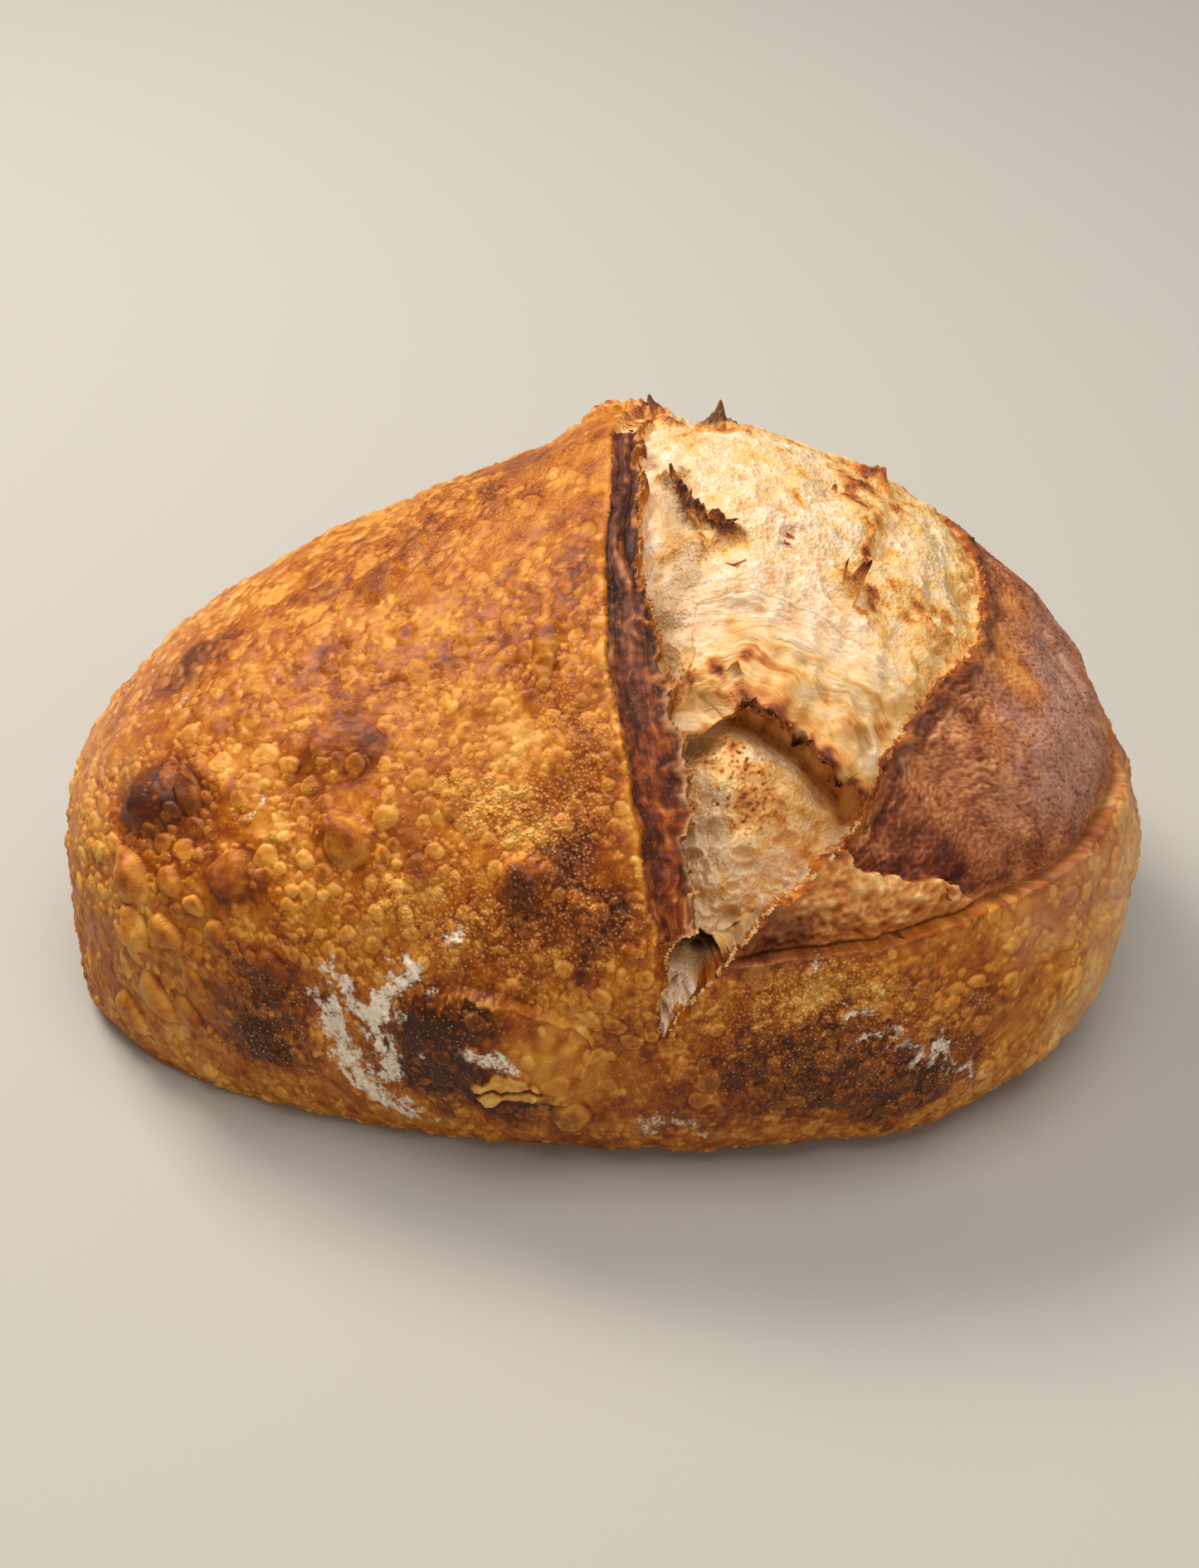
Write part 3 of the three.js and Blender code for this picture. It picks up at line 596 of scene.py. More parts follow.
def stampBlisters():
    field = blisterField
    rng = np.random.default_rng(field["seed"])
    taken = np.zeros(mapU.shape, bool)
    bubble, pale, heart, ring, shade = (np.zeros(mapU.shape) for _ in range(5))

    def stamp(u, v, radiusU, radiusV, light, share):
        rows, columns = windowAt(u, v, radiusU, radiusV)
        radius = math.sqrt(radiusU * radiusV)
        du, dv = (mapU[rows, columns] - u) / radiusU, (mapV[rows, columns] - v) / radiusV
        angle = np.arctan2(dv, du)
        uneven = 1
        for (depth, waves), phase in zip(field["uneven"], rng.uniform(0, 6.28, 3)):
            uneven = uneven + depth * np.sin(waves * angle + phase)
        t = np.hypot(du, dv) / uneven
        large = min(max((radius - 1.1) / 1.5, 0), 1)
        dome = np.maximum(1 - t ** (2 + 1.2 * large), 0) ** (0.95 - 0.2 * large)
        dome *= 1 - 0.25 * large * bell(t, 0.5)
        height = radius * mix(field["rise"], field["flatRise"], large) * share
        body = (t < 1) * light * (1 - 0.4 * large * bell(t, 0.7))
        # a painted shadow in a ring just outside each blister's foot
        paintedShadowRing = bell(t - 1.15, 0.13) * min(radius, 1) * (0.5 + 0.5 * light)
        taken[rows, columns] |= t < 0.95
        for raster, value in ((bubble, height * dome), (pale, body), (shade, paintedShadowRing)):
            np.maximum(raster[rows, columns], value, out=raster[rows, columns])
        ring[rows, columns] += bell(t - 0.9, 0.09) * (0.25 + 0.75 * light)
        heart[rows, columns] += large * bell(t, 0.5) * (1 - light)

    for u, v, radiusU, radiusV, light in namedBlisters:
        stamp(u, v, radiusU, radiusV, light, field["namedRise"])
    density = np.clip(field["kept"] + patches(blisterDensity), 0.02, 1) * (1 - 0.95 * lobe)
    density *= depthIn < -0.8
    density *= np.where(band > 0.01, field["onBand"] * ease(0, 30, -40 - mapV), 1) * (fromFoot > 4)
    density *= np.clip(clouds(1, *field["noise"]), 0.02, 2.4) * (1 - hump)
    density *= 0.82 - np.clip(patches(smoothPlaces), 0, 0.8)
    scale = 1 + patches(blisterSize)
    count = field["candidates"]
    u, v = (rng.uniform(-reach, reach, count) for reach in field["reach"])
    kept = rng.random(count) < sample(density, u, v)
    radius = field["radius"][0] + rng.exponential(field["radius"][1], count)
    large = rng.random(count) < field["largeShare"]
    radius = np.where(large, rng.uniform(*field["largeRadius"], count), radius)
    radius = np.minimum(radius * sample(scale, u, v), field["radius"][2])
    lengthU = np.linalg.norm(plainLoaf(u + 0.5, v) - plainLoaf(u - 0.5, v), axis=-1)
    lengthV = np.linalg.norm(plainLoaf(u, v + 0.5) - plainLoaf(u, v - 0.5), axis=-1)
    roundness = np.clip(np.sqrt(lengthV / np.maximum(lengthU, 0.1)), *field["roundness"])
    order = np.argsort(-radius)
    placed = 0
    for i in order[kept[order]]:
        r, c = cellAt(u[i], v[i])
        gap = int(radius[i] * field["space"] / crustMap["cell"])
        if taken[r, c] or taken[r, c - gap] or taken[r, c + gap] or taken[r - gap, c] or taken[r + gap, c]:
            continue
        placed += 1
        oval = roundness[i] * (1 + rng.uniform(-0.13, 0.13))
        oval *= 1 - 0.2 * float(ease(-50, 20, v[i]) * (1 - ease(50, 90, v[i])))
        light, share = rng.beta(*field["lightness"]), rng.uniform(*field["riseRange"])
        stamp(u[i], v[i], radius[i] * oval, radius[i] / oval, light, share)
    print("blisters:", placed)
    return bubble, pale, heart, ring, shade * (pale < 0.02)


print("raising blisters")
bubble, paleMark, heartMark, ringMark, shadeMark = stampBlisters()

browning = {  # of the bake, where 0 is pale straw and 1 nearly black
    "base": 0.5,
    "noise": [(0.03, 41, 30), (0.045, 42, 9), (0.04, 43, 3.2), (0.024, 44, 1.2)],  # amount, seed, size
    "finest": (0.018, 117, 0.75),
    "footPale": 0.24,
    "footEdge": (3, 12),
    "heart": 0.15,  # the middle of a dark blister
    "ring": 0.05,
    # the painted shadow round each blister's foot
    "shade": 0.09,
    "lipPale": 0.17,
    "besideLip": 0.07,
    "grit": 0.12,
    # pale specks in dusty places: partly flour dust, partly painted glints
    "specksAndGlints": 0.22,
    "charGaps": 0.65,  # how far a pale blister clears the char
    "relief": [(0.35, 61, 14), (0.1, 62, 5), (0.025, 63, 1.5)],
    "gritRise": 0.3,
    "flourRise": 0.06,
}
darkPlaces = [  # where the crust is browner: u, v, radius u, radius v, turn, amount
    (-107, -33, 14, 11, 20, 0.26), (-95.7, 6, 8, 6, 30, 0.2), (-61, -38, 12, 10, 0, 0.16),
    (-22, -82, 8, 8, 0, 0.2), (-116, -98, 25, 15, 0, 0.25),
    (-101, -46, 18, 13, 0, 0.08), (-8, -52, 9, 38, 4, 0.09), (-45, 18, 26, 12, 20, 0.05),
    (60, -124, 50, 15, 4, 0.2), (88, -114, 20, 12, 0, 0.1), (60, -106, 46, 16, 16, 0.06),
    (-62, -61, 5, 6, 0, 0.16), (-93, -63, 7, 6, 0, 0.16), (-123, -50, 4, 5, 0, 0.12),
    (-50, -122, 24, 17, -10, 0.28), (100, -55, 28, 12, 40, 0.04), (-20, -112, 90, 26, 0, 0.05),
    (-110, -75, 34, 24, 0, 0.04), (-20, 62, 9, 14, 0, 0.08), (-40, -20, 36, 14, 0, 0.08),
    (-5, -78, 9, 16, 0, 0.09), (16, -134, 24, 12, 0, 0.05), (-118, -94, 16, 10, 0, 0.03),
    (-55, 5, 50, 40, 0, 0.025), (2, -122, 16, 12, 0, 0.03), (-22, 40, 14, 16, 0, 0.07),
    (-40, 26, 30, 16, 0, 0.03), (-10, -82, 14, 16, 0, 0.03), (12, -134, 30, 12, 0, 0.06),
    (-8, -92, 10, 18, 10, 0.1), (-46, -76, 5, 5, 0, 0.14), (-51, 12, 5, 6, 0, 0.1),
    (-95, -90, 7, 7, 0, 0.16), (20, -160, 120, 14, 0, 0.08),
]
palePlaces = [  # and where it is paler
    (-100, 60, 80, 30, 20, 0.04), (-70, -20, 30, 20, 0, 0.02), (-6, 62, 14, 20, 0, 0.06),
    (-10, 25, 10, 40, 0, 0.06), (-36, 20, 24, 16, 0, 0.02), (-150, -20, 22, 50, -20, 0.06),
    (-165, -90, 16, 34, -35, 0.08), (150, -60, 22, 50, 25, 0.06), (-15, -60, 9, 16, 0, 0.07),
    (-12, -36, 9, 18, 0, 0.03), (-25, -62, 14, 8, -30, 0.07), (50, -102, 20, 8, 16, 0.2),
    (144, -50, 28, 44, 25, 0.2), (-60, -86, 60, 14, 0, 0.04), (60, -76, 6, 3, 0, 0.1),
]
charPlaces = [  # burnt nearly black
    (-109, -32, 8, 7.5, 20, 0.65), (-116, -21, 5, 6, 0, 0.4), (-97, 5, 3, 6, 30, 0.4),
    (-100, -46, 9, 6, 0, 0.08), (-112, -99, 15, 10, 0, 0.5), (-136, -88, 7, 7, 0, 0.1),
    (-124, -109, 10, 5, 0, 0.25), (-103, -108, 10, 5, 0, 0.25), (-61, -41, 5, 4, 0, 0.12),
    (-52, -119, 15, 14, -8, 1.15), (-36, -137, 20, 6, -8, 0.7), (-62, -128, 9, 9, 0, 0.7),
    (-40, -112, 12, 6, -10, 0.5), (56, -128, 28, 6, 4, 0.45), (88, -121, 14, 6, 14, 0.6),
    (28, -125, 10, 5, 0, 0.2), (64, -118, 22, 6, 8, 0.2), (-8, -72, 5, 12, 0, 0.15),
]
roughPlaces = [  # where dry flour baked into granules
    (-25, -63, 16, 8, -30, 1.0), (-8, -62, 7, 30, 4, 0.5), (-30, -90, 34, 12, -8, 0.55),
    (48, -102, 24, 10, 18, 1.0), (70, -115, 44, 14, 10, 0.6), (-115, -100, 24, 12, 0, 0.6),
    (-30, 30, 36, 24, 0, 0.35),
]
dustyPlaces = [(-50, -112, 110, 34, 0, 0.7), (70, -118, 60, 18, 4, 0.8)]
flourPlaces = [
    (-41, -90, 3.4, 2.4, 40, 0.8), (-33, -122.5, 8, 3.4, -24, 0.8), (-58, -117, 2.2, 1.6, 0, 0.6),
    (-70, -139, 4, 2, 0, 0.4), (-60, -110, 3, 3, 0, 0.4), (14, -141.5, 13, 2.6, 0, 0.55),
    (28, -144, 5, 2, 0, 0.45), (58, -108.5, 4, 2.4, 30, 0.6), (40.5, -97, 5, 1.6, 10, 0.5),
    (92, -96, 5, 2, 20, 0.3), (-95, -9, 3, 3, 0, 0.4), (-79, -47, 2.4, 2.6, 0, 0.7),
    (112, -110, 6, 3, 20, 0.4),
]
flourStrokes = [  # points, width, amount
    ([(-75.4, -93), (-75.4, -98.6), (-74, -102), (-71, -107)], 3.0, 0.95),
    ([
        (-53, -99), (-59.7, -102.5), (-65, -106.3), (-71, -112), (-72.4, -117), (-73.5, -121),
        (-78.7, -124),
    ], 3.8, 1.05),
    ([(-84, -104), (-87, -110), (-88.4, -117.5), (-88.5, -124), (-85.5, -131), (-79, -136)], 4.6, 1.0),
    ([(62, -110), (70, -109.6), (78, -110.4), (88, -110)], 2.0, 0.6),
    ([(90, -109), (97, -109.6), (106, -110.4)], 2.6, 0.55),
]


def crustMarks():
    look = browning
    tone = clouds(look["base"], *look["noise"])
    tone += patches(darkPlaces) - patches(palePlaces)
    tone -= look["footPale"] * (1 - ease(*look["footEdge"], fromFoot + 3 * cloud(45, 12)))
    # blisters' dark middles and pale rings, and the painted shadow round them
    blistered = look["heart"] * heartMark - look["ring"] * ringMark + look["shade"] * shadeMark
    tone += clouds(blistered, look["finest"])
    onLip = look["lipPale"] * bell(lip.distance + 0.8, 0.5) * ease(-110, -90, mapV)
    tone -= onLip * (1 - 0.6 * ease(-40, -10, mapV))
    tone += look["besideLip"] * bell(lip.distance + 5, 4) * ease(-40, 0, mapV)
    rough = unit(patches(roughPlaces))
    grit = np.clip(clouds(0, (0.9, 48, 2.0), (0.6, 49, 0.8)) - 0.1, 0, 1.6)
    tone -= look["grit"] * rough * (grit - 0.45)
    # pale specks: partly flour dust, partly painted glints
    specksAndGlints = unit(2 * cloud(50, 0.8) - 2.6)
    dusty = unit(0.15 + patches(dustyPlaces) + rough)
    char = unit(patches(charPlaces) * np.clip(clouds(1, (0.3, 46, 3.5), (0.35, 47, 1.2)), 0, 2))
    char = char * (1 - look["charGaps"] * unit(paleMark + 0.5 * heartMark)) * (1 - 0.75 * specksAndGlints * dusty)
    tone -= look["specksAndGlints"] * specksAndGlints * dusty
    flour = patches(flourPlaces)
    for number, (points, width, amount) in enumerate(flourStrokes):
        flour += amount * bell(fromLine("flour" + str(number), points, 2.0), width)
    flour = unit(clouds(1.25 * flour - 0.3, (0.17, 51, 2.2), (0.13, 52, 0.6))) * (flour > 0.05)
    return tone, char, rough, grit, flour, dusty


print("browning the crust")
tone, char, rough, grit, flour, dusty = crustMarks()
crustRelief = clouds(0, *browning["relief"]) + bubble + rough * browning["gritRise"] * grit
crustRelief = crustRelief + browning["flourRise"] * flour * np.maximum(cloud(52, 0.9), 0)

scab = {  # on the large blister low in front: a pale cap with a crack, and a raised rim on its right
    "cap": (-35, -130.4, 11.5, 4.6, -2),
    "capRise": 0.6,
    "capBake": 0.22,
    "crack": [(-45, -130), (-40, -129.2), (-36, -130.4), (-31.5, -130.2), (-27, -130), (-24.8, -131.4)],
    "crackDepth": 1.3,
    "rim": [
        (-40, -106), (-34.5, -108), (-27, -110), (-19, -112.8), (-10.5, -116.7), (-8.2, -122), (-11, -128),
    ],
    "rimRise": 1.1,
    "orange": [(-20, -121, 12, 9, -20, 1.0)],
    "orangeBake": 0.41,
}


def capMarks():
    u, v, radiusU, radiusV, degrees = scab["cap"]
    placeU, placeV = warped(0.35)
    across, up = turned(placeU - u, placeV - v, degrees, radiusU, radiusV)
    cap = 1 - ease(0.9, 1.02, clouds(np.hypot(across, up), (0.06, 123, 2)))
    crack = bell(fromLine("crack", scab["crack"], 0.5, 6), 0.36)
    rim = bell(fromLine("blisterRim", scab["rim"], 0.4, 8), 0.75)
    return cap, crack, rim


capMark, crackMark, blisterRim = capMarks()
capRelief = scab["rimRise"] * blisterRim + capMark * clouds(scab["capRise"], (0.06, 118, 1.2))
crustRelief += capRelief - scab["crackDepth"] * crackMark
orangeSide = patches(scab["orange"])
char = unit(char - 1.3 * orangeSide) * (1 - capMark)
tone = mix(tone, clouds(scab["orangeBake"], (0.05, 64, 3)), unit(orangeSide))
tone = mix(tone, clouds(scab["capBake"], (0.04, 65, 4), (0.03, 118, 1.2)), capMark) - 0.1 * blisterRim
tone += 0.9 * crackMark
char = np.maximum(char, crackMark)
flour = unit(flour * (1 - 0.6 * capMark)) * (1 - crackMark)

print("drawing out the ear")
ear = {
    "wander": 0.08,  # how far its folds stray, as a share of its width
    "innerGroove": (0.24, 0.09, 0.4),  # place across, width, depth in mm
    "ridge": (0.48, 0.16, 0.45),
    "outerGroove": (0.74, 0.08, 0.6),
    "redBelow": (-20, -60),
    "widths": [
        (-97, 3), (-88, 9), (-80, 7.5), (-65, 8.2), (-50, 8.8), (-28, 6.8), (-5, 5.2), (20, 4.8),
        (60, 4.4),
    ],
    "base": 0.39,  # of its shade, where 0 is nearly black and 1 pale
    "crestStart": (-97, -91),
    "crestEnd": (60, 85),
    "crestFar": (0.45, -50, -10),  # what is left of the crest far back, and from where to where it sinks
    "tipFrom": (-88, -80),
    "strip": (0.8, 0.92),  # the shares of its width where the ragged free edge begins in front
    "stripBelow": (0.84, 0.97),
}
earGrain = streaks(71, 0.75, 34, lip.along, lip.distance * 1.3)
earWidth = np.interp(mapV, *zip(*ear["widths"]))
earWander = lip.distance / earWidth + ear["wander"] * streaks(76, 4, 4, lip.along, 0 * lip.distance)
earClouds = streaks(72, 3, 4, lip.along, lip.distance)
redder = ease(*ear["redBelow"], mapV)
innerGroove, ridge, outerGroove = (
    bell(earWander - ear[part][0], ear[part][1]) for part in ("innerGroove", "ridge", "outerGroove")
)
outerGroove = outerGroove * mix(1, 0.3, redder)
innerGroove = innerGroove * mix(1, 0.5, redder)
farShare, farStart, farEnd = ear["crestFar"]
crest = 0.6 * bell(lip.distance + 0.3, 0.42) * (1 + 0.25 * streaks(119, 0.8, 6, lip.along, lip.distance))
crest = crest * ease(*ear["crestStart"], mapV) * mix(1, farShare, ease(farStart, farEnd, mapV))
crest = crest * (1 - ease(*ear["crestEnd"], mapV))
freeEdge = bell(edge.distance + 0.5, 0.5) * band * redder
earLumps = streaks(121, 1.8, 4, lip.along, lip.distance)
earBeads = unit(2.5 * bubble)
earTip = (1 - ease(*ear["tipFrom"], mapV)) * band
# the ear's tone: its streaks, beads and paler tip, with painted highlight on the ridge and painted shade in
# the grooves
earStreak = ear["base"] + 0.1 * ridge - 0.1 * innerGroove - 0.17 * outerGroove
earStreak = earStreak + 0.06 * earGrain + 0.04 * earClouds
earStreak = earStreak + 0.09 * streaks(130, 0.5, 5, lip.along, lip.distance) - 0.04 * redder
earStreak = earStreak + 0.09 * streaks(120, 0.9, 2, lip.along, lip.distance)
earStreak = earStreak + 0.06 * earLumps + 0.16 * earBeads + 0.14 * earTip
earRelief = ear["ridge"][2] * ridge - ear["innerGroove"][2] * innerGroove
earRelief = earRelief - ear["outerGroove"][2] * outerGroove
earRelief = earRelief + 0.1 * earGrain + 0.1 * streaks(73, 1.0, 4, lip.along, lip.distance)
earRelief = earRelief + 0.16 * earLumps + bubble
# the paler ragged strip along the free edge, wide above and a fringe below
strip = ease(*ear["strip"], clouds(acrossBand, (0.06, 74, 2.4), (0.05, 129, 0.9))) * (1 - redder)
strip += 0.8 * ease(*ear["stripBelow"], clouds(acrossBand, (0.05, 74, 2.4))) * redder
strip *= 1 - 0.8 * (1 - ease(-92, -84, mapV))

print("dusting the right lobe")
lobeLook = {
    # painted sheen: places where pale pink highlights are laid into the lobe's colour, and farther ones on
    # the crust near the outline
    "paintedSheen": [(101, -20, 20, 26, 0, 1.0), (114, 12, 14, 26, 0, 0.8), (86, -44, 12, 8, 30, 0.3)],
    "paintedFarSheen": [
        (148, -48, 24, 48, 25, 0.95), (132, 40, 20, 30, 0, 0.5), (110, -62, 26, 12, 35, 0.5),
        (-122, 14, 22, 46, -20, 0.4),
    ],
    "flank": [(128, 6, 10, 36, 10, 1.0), (134, -24, 8, 20, 30, 0.6)],
    "gold": [(68, -44, 26, 18, 38, 1.0)],
    "glossyOrange": [
        (58, -40, 4, 7, 30, 0.5), (86, -5, 9, 12, -14, 1.0), (93.4, 19, 7, 9, 0, 0.9),
        (64, -52, 9, 10, 30, 0.15), (76, -34, 5, 8, 20, 0.3),
    ],
    "flakeDark": [(31, -93, 14, 6, 25, 0.38), (52, -84, 14, 5, 16, 0.14)],
    # painted shade behind the flake's lifted edge
    "behindFlakeShade": [(58, -60, 10, 7, -20, 0.2), (70, -66, 12, 4, -10, 0.12)],
    "rimDark": [(33, -88.5, 14, 7, 25, 0.85), (84, 8, 3, 10, 0, 0.3)],
    "base": 0.5,  # shades run from 0, dark, to 1, pale
    "flakeBase": 0.73,
    "orangeBase": 0.65,
    "rimReach": (2, 9),  # the torn streaks lie this far in from the rim
    "grainTurn": 38,
}
creaseMark = bell(crease.distance, 0.8) * grip(crease.share, 0.15, 0.8)
flank = patches(lobeLook["flank"])
# the painted sheen, mottled, and kept out of the crease and the flank
paintedFarSheen = unit(patches(lobeLook["paintedFarSheen"]) * clouds(0.8, (0.2, 81, 3)))
paintedLobeSheen = patches(lobeLook["paintedSheen"]) * (1 - 0.8 * creaseMark) * (1 - 0.6 * unit(flank))
paintedLobeSheen = unit(paintedLobeSheen * clouds(0.8, (0.2, 81, 3), (0.3, 87, 0.7)))
rimStreaks = streaks(82, 0.9, 7, rim.along + 0.5 * warpU, rim.distance + 0.5 * warpV)
nearRim = bell(rim.distance - lobeLook["rimReach"][0], lobeLook["rimReach"][1])
lobeTone = lobeLook["base"] + 0.13 * rimStreaks * nearRim
lobeTone = clouds(lobeTone, (0.09, 83, 5), (0.03, 88, 2), (0.1, 87, 0.7))
goldStreaks = 0.06 + 0.09 * streaks(131, 0.9, 4, *warped(1), 50)
lobeTone = lobeTone + patches(lobeLook["gold"]) * goldStreaks
lobeRelief = clouds(0.2 * rimStreaks * nearRim, (0.35, 89, 11), (0.08, 87, 0.7), (0.04, 88, 2))
flakeGrain = streaks(84, 1.1, 4, *warped(0.5), 14)
flakeTone = clouds(lobeLook["flakeBase"] + 0.05 * flakeGrain, (0.09, 85, 2.6), (0.07, 90, 1.1))
flakeTone = flakeTone - patches(lobeLook["flakeDark"])
lobeTone = mix(lobeTone, flakeTone, onFlake)
lobeRelief = mix(lobeRelief, clouds(0.1 * flakeGrain, (0.26, 85, 2.6), (0.13, 90, 1.1)), onFlake)
glossyOrange = patches(lobeLook["glossyOrange"])
paintedLobeSheen = paintedLobeSheen * (1 - onFlake) * (1 - unit(1.2 * glossyOrange))
# painted shade in the hollow behind the flake's lifted edge, and a painted highlight along that edge
behindFlake = bell(flake.distance + 2.6, 3.4) * grip(flake.share, 0.1, 0.8)
flakeEdgeHighlight = bell(flake.distance - 0.5, 0.6) * grip(flake.share, 0.04, 0.9)
behindFlakeShade = 0.36 * behindFlake * clouds(1, (0.4, 88, 2)) * (flake.distance < 0)
lobeTone = lobeTone - behindFlakeShade + 0.24 * flakeEdgeHighlight
lobeTone = lobeTone - patches(lobeLook["behindFlakeShade"]) * (1 - onFlake)
# painted shade: the lobe is darker in the crease
lobeTone = lobeTone + 0.16 * unit(flank) - 0.3 * creaseMark
orangeTone = clouds(lobeLook["orangeBase"], (0.05, 83, 5), (0.03, 87, 0.7))
lobeTone = mix(lobeTone, orangeTone, unit(glossyOrange) * (1 - onFlake))
rimDark = bell(rim.distance - 1.6, 2.4) * clouds(0.8, (0.4, 86, 4)) * ease(-60, -45, mapV)
# the torn rim's own dark colour, with the crease's painted shade added
rimDark = rimDark + patches(lobeLook["rimDark"]) * (rim.distance > 0) + 0.5 * creaseMark
flaky = unit(onFlake + 0.85 * glossyOrange * lobe)
tone += 0.12 * bell(fold.distance - 1.2, 1.0) * grip(fold.share, 0.06, 0.9)
# a thin painted shadow under the fold's overhanging lip; the same line also cuts a shallow groove
foldShadowLine = bell(fold.distance + 0.7, 0.6) * grip(fold.share, 0.06, 0.85) * (rim.distance > 0)

print("tearing the crumb open")
crumbField = {
    "seed": 9,
    "cells": 3600,
    "reach": ((0, 88), (-116, 96)),  # the part of the map that they fall on
    "radius": (0.38, 0.4, 3.0),  # smallest, mean above it, largest
    "depth": 0.26,  # as a share of the radius
    "drawnOut": 1.6,
    "poreDepth": 1.1,
    "poreRim": (0.16, 0.2),  # behind the shelf and below it
    "strandRise": 0.17,
    "strandReach": 24,  # mm behind the shelf's edge
    "strandLeft": 0.35,  # of them is left at its left end
    "strandWhole": (0.12, 0.45),  # the shares of the shelf between which they come in
}
holes = [  # u, v, radius u, radius v, turn, depth
    (49, -42, 3.4, 1.5, -50, 2.4), (68, -15, 2, 1.3, 20, 1.8), (36, 8, 3, 1.6, 10, 1.2),
    (12, 0, 5, 4, 0, 1.4), (14, 20, 3, 6, 10, 1.2), (23, 16, 3, 2, 0, 0.8), (8, -26, 3, 5, 0, 1.5),
    (52, -27, 1.6, 1.2, 0, 1.4), (40, -34, 2.2, 1.0, -20, 1.0), (24, -15, 6, 2, -8, 1.3),
    (45, -9, 3, 6, 20, 1.8), (14.5, -46.5, 6, 5, 20, 5), (12, -68, 3.4, 4.4, 10, 2.4),
    (20, -67, 5.5, 3.6, 20, 2.4), (13.5, -74, 4, 2, 10, 1.6), (27, -71, 3, 2, 30, 1.8),
    (22, -88, 5, 3, 30, 1.8), (17, -83, 2, 1.4, 0, 1.2), (25, -80, 2.2, 1.4, 30, 1.2),
    (28, -74, 3, 1.6, 30, 1.2), (14, -97, 2.6, 2, 20, 2.2), (17, -101, 2, 2.6, -10, 2.2),
    (12, -105, 1.8, 2.6, 0, 2.2), (19, -95, 2.4, 1.6, 30, 1.8), (11, -111, 1.4, 2, 0, 1.8),
    (34, -66, 3, 1.6, 40, 1.4),
]


def stampHoles():
    field = crumbField
    rng = np.random.default_rng(field["seed"])
    sunk, lit = np.zeros(mapU.shape), np.zeros(mapU.shape)
    u, v = (rng.uniform(*reach, field["cells"]) for reach in field["reach"])
    smallest, usual, largest = field["radius"]
    radius = np.minimum(smallest + rng.exponential(usual, u.size), largest)
    laid = sample(stranded, u, v)  # near the shelf the cells are drawn out along it
    turns = np.degrees(np.arctan2(-sample(shelf.leftU, u, v), sample(shelf.leftV, u, v)))
    places = []
    for a, b, c, d, degrees in zip(u, v, radius, laid, turns):
        long = rng.uniform(0.9, 1.5) * (1 + field["drawnOut"] * d)
        free = rng.uniform(40, 150)
        degrees = degrees if d > 0.4 else free
        depth = c * field["depth"] * rng.uniform(0.4, 1.2)
        places.append((a, b, c * long, c * (1 - 0.4 * d), degrees, depth))
    placeU, placeV = warped(0.3)
    for a, b, radiusU, radiusV, degrees, depth in places + holes:
        window = windowAt(a, b, radiusU, radiusV)
        t = np.hypot(*turned(placeU[window] - a, placeV[window] - b, degrees, radiusU, radiusV))
        np.maximum(sunk[window], depth * np.maximum(1 - t**2.2, 0), out=sunk[window])
        rim = bell(t - 1.04, 0.14) * min(0.4 + depth, 1)
        np.maximum(lit[window], rim, out=lit[window])
    return sunk, lit


# behind the shelf the strands run along its edge
shelfBand = overShelf * bell(shelf.distance, crumbField["strandReach"])
shelfBand *= mix(crumbField["strandLeft"], 1, ease(*crumbField["strandWhole"], shelf.share))
stranded = unit(1.35 * shelfBand)
sunk, lit = stampHoles()
alongShelf, fromShelf = shelf.along + 0.7 * warpU, shelf.distance + 0.6 * warpV
strands = streaks(91, 0.75, 15, alongShelf, fromShelf)
wideStrands = streaks(92, 1.9, 10, alongShelf, fromShelf)
sponge = 0.3 * cloud(94, 4, 0.65) + 0.26 * cloud(95, 1.9, 0.65) + 0.34 * cloud(96, 0.9, 0.7)
wisps = np.maximum(
    streaks(122, 0.55, 7, mapU + 2 * warpU, mapV + 2 * warpV, 38),
    streaks(124, 0.55, 7, mapU - 2 * warpU, mapV + 2 * warpV, -24),
)
wisps = np.clip(1.3 * wisps - 1.3, 0, 1.3)
sponge += 0.8 * wisps
lowerSheets = streaks(98, 1.0, 5, *warped(1), 25)
lowerStrand = 0.4 * lowerSheets + 0.8 * sponge + 0.5 * wisps
lower = opened * (1 - overShelf)
inCleft = opened * (1 - ease(-106, -94, mapV))
cleftLumps = clouds(0, (0.8, 125, 2.0), (0.5, 126, 0.9))
nearestRim = abs(rim.distance) < abs(edge.distance)
crumbled = nearestRim * (1 - ease(-74, -60, mapV)) * bell(depthIn - 1.8, 1.8)
membrane = opened * bell(pocketLip + 3, 4) * byPocket * (mapV > -104)
spread = np.maximum(bell(shelf.distance - 0.8, 1.1) * isOpen, bell(depthIn - 0.8, 1.0))  # the torn walls

# how high the crumb's threads lie, behind the shelf, below it, and where it is torn
strand = mix(sponge, 0.75 * strands + 0.4 * wideStrands, stranded)
rises, pores = crumbField["strandRise"], crumbField["poreDepth"] * sunk
upperRim, lowerRim = crumbField["poreRim"]
crumbRelief = rises * strand + 0.5 * cloud(97, 9) + 0.15 * cloud(100, 4, 0.7) - pores + upperRim * lit
lowerRelief = clouds(rises * lowerStrand, (0.45, 99, 7)) - pores + lowerRim * lit
crumbRelief = mix(crumbRelief, lowerRelief, lower)
crumbRelief = crumbRelief * (1 - 0.8 * spread) + 0.7 * inCleft * cleftLumps
crumbRelief = mix(crumbRelief, 0.1 * cloud(126, 0.9), 0.6 * membrane)
crumbRelief = crumbRelief + crumbled * opened * clouds(0.6, (0.6, 125, 2.0))
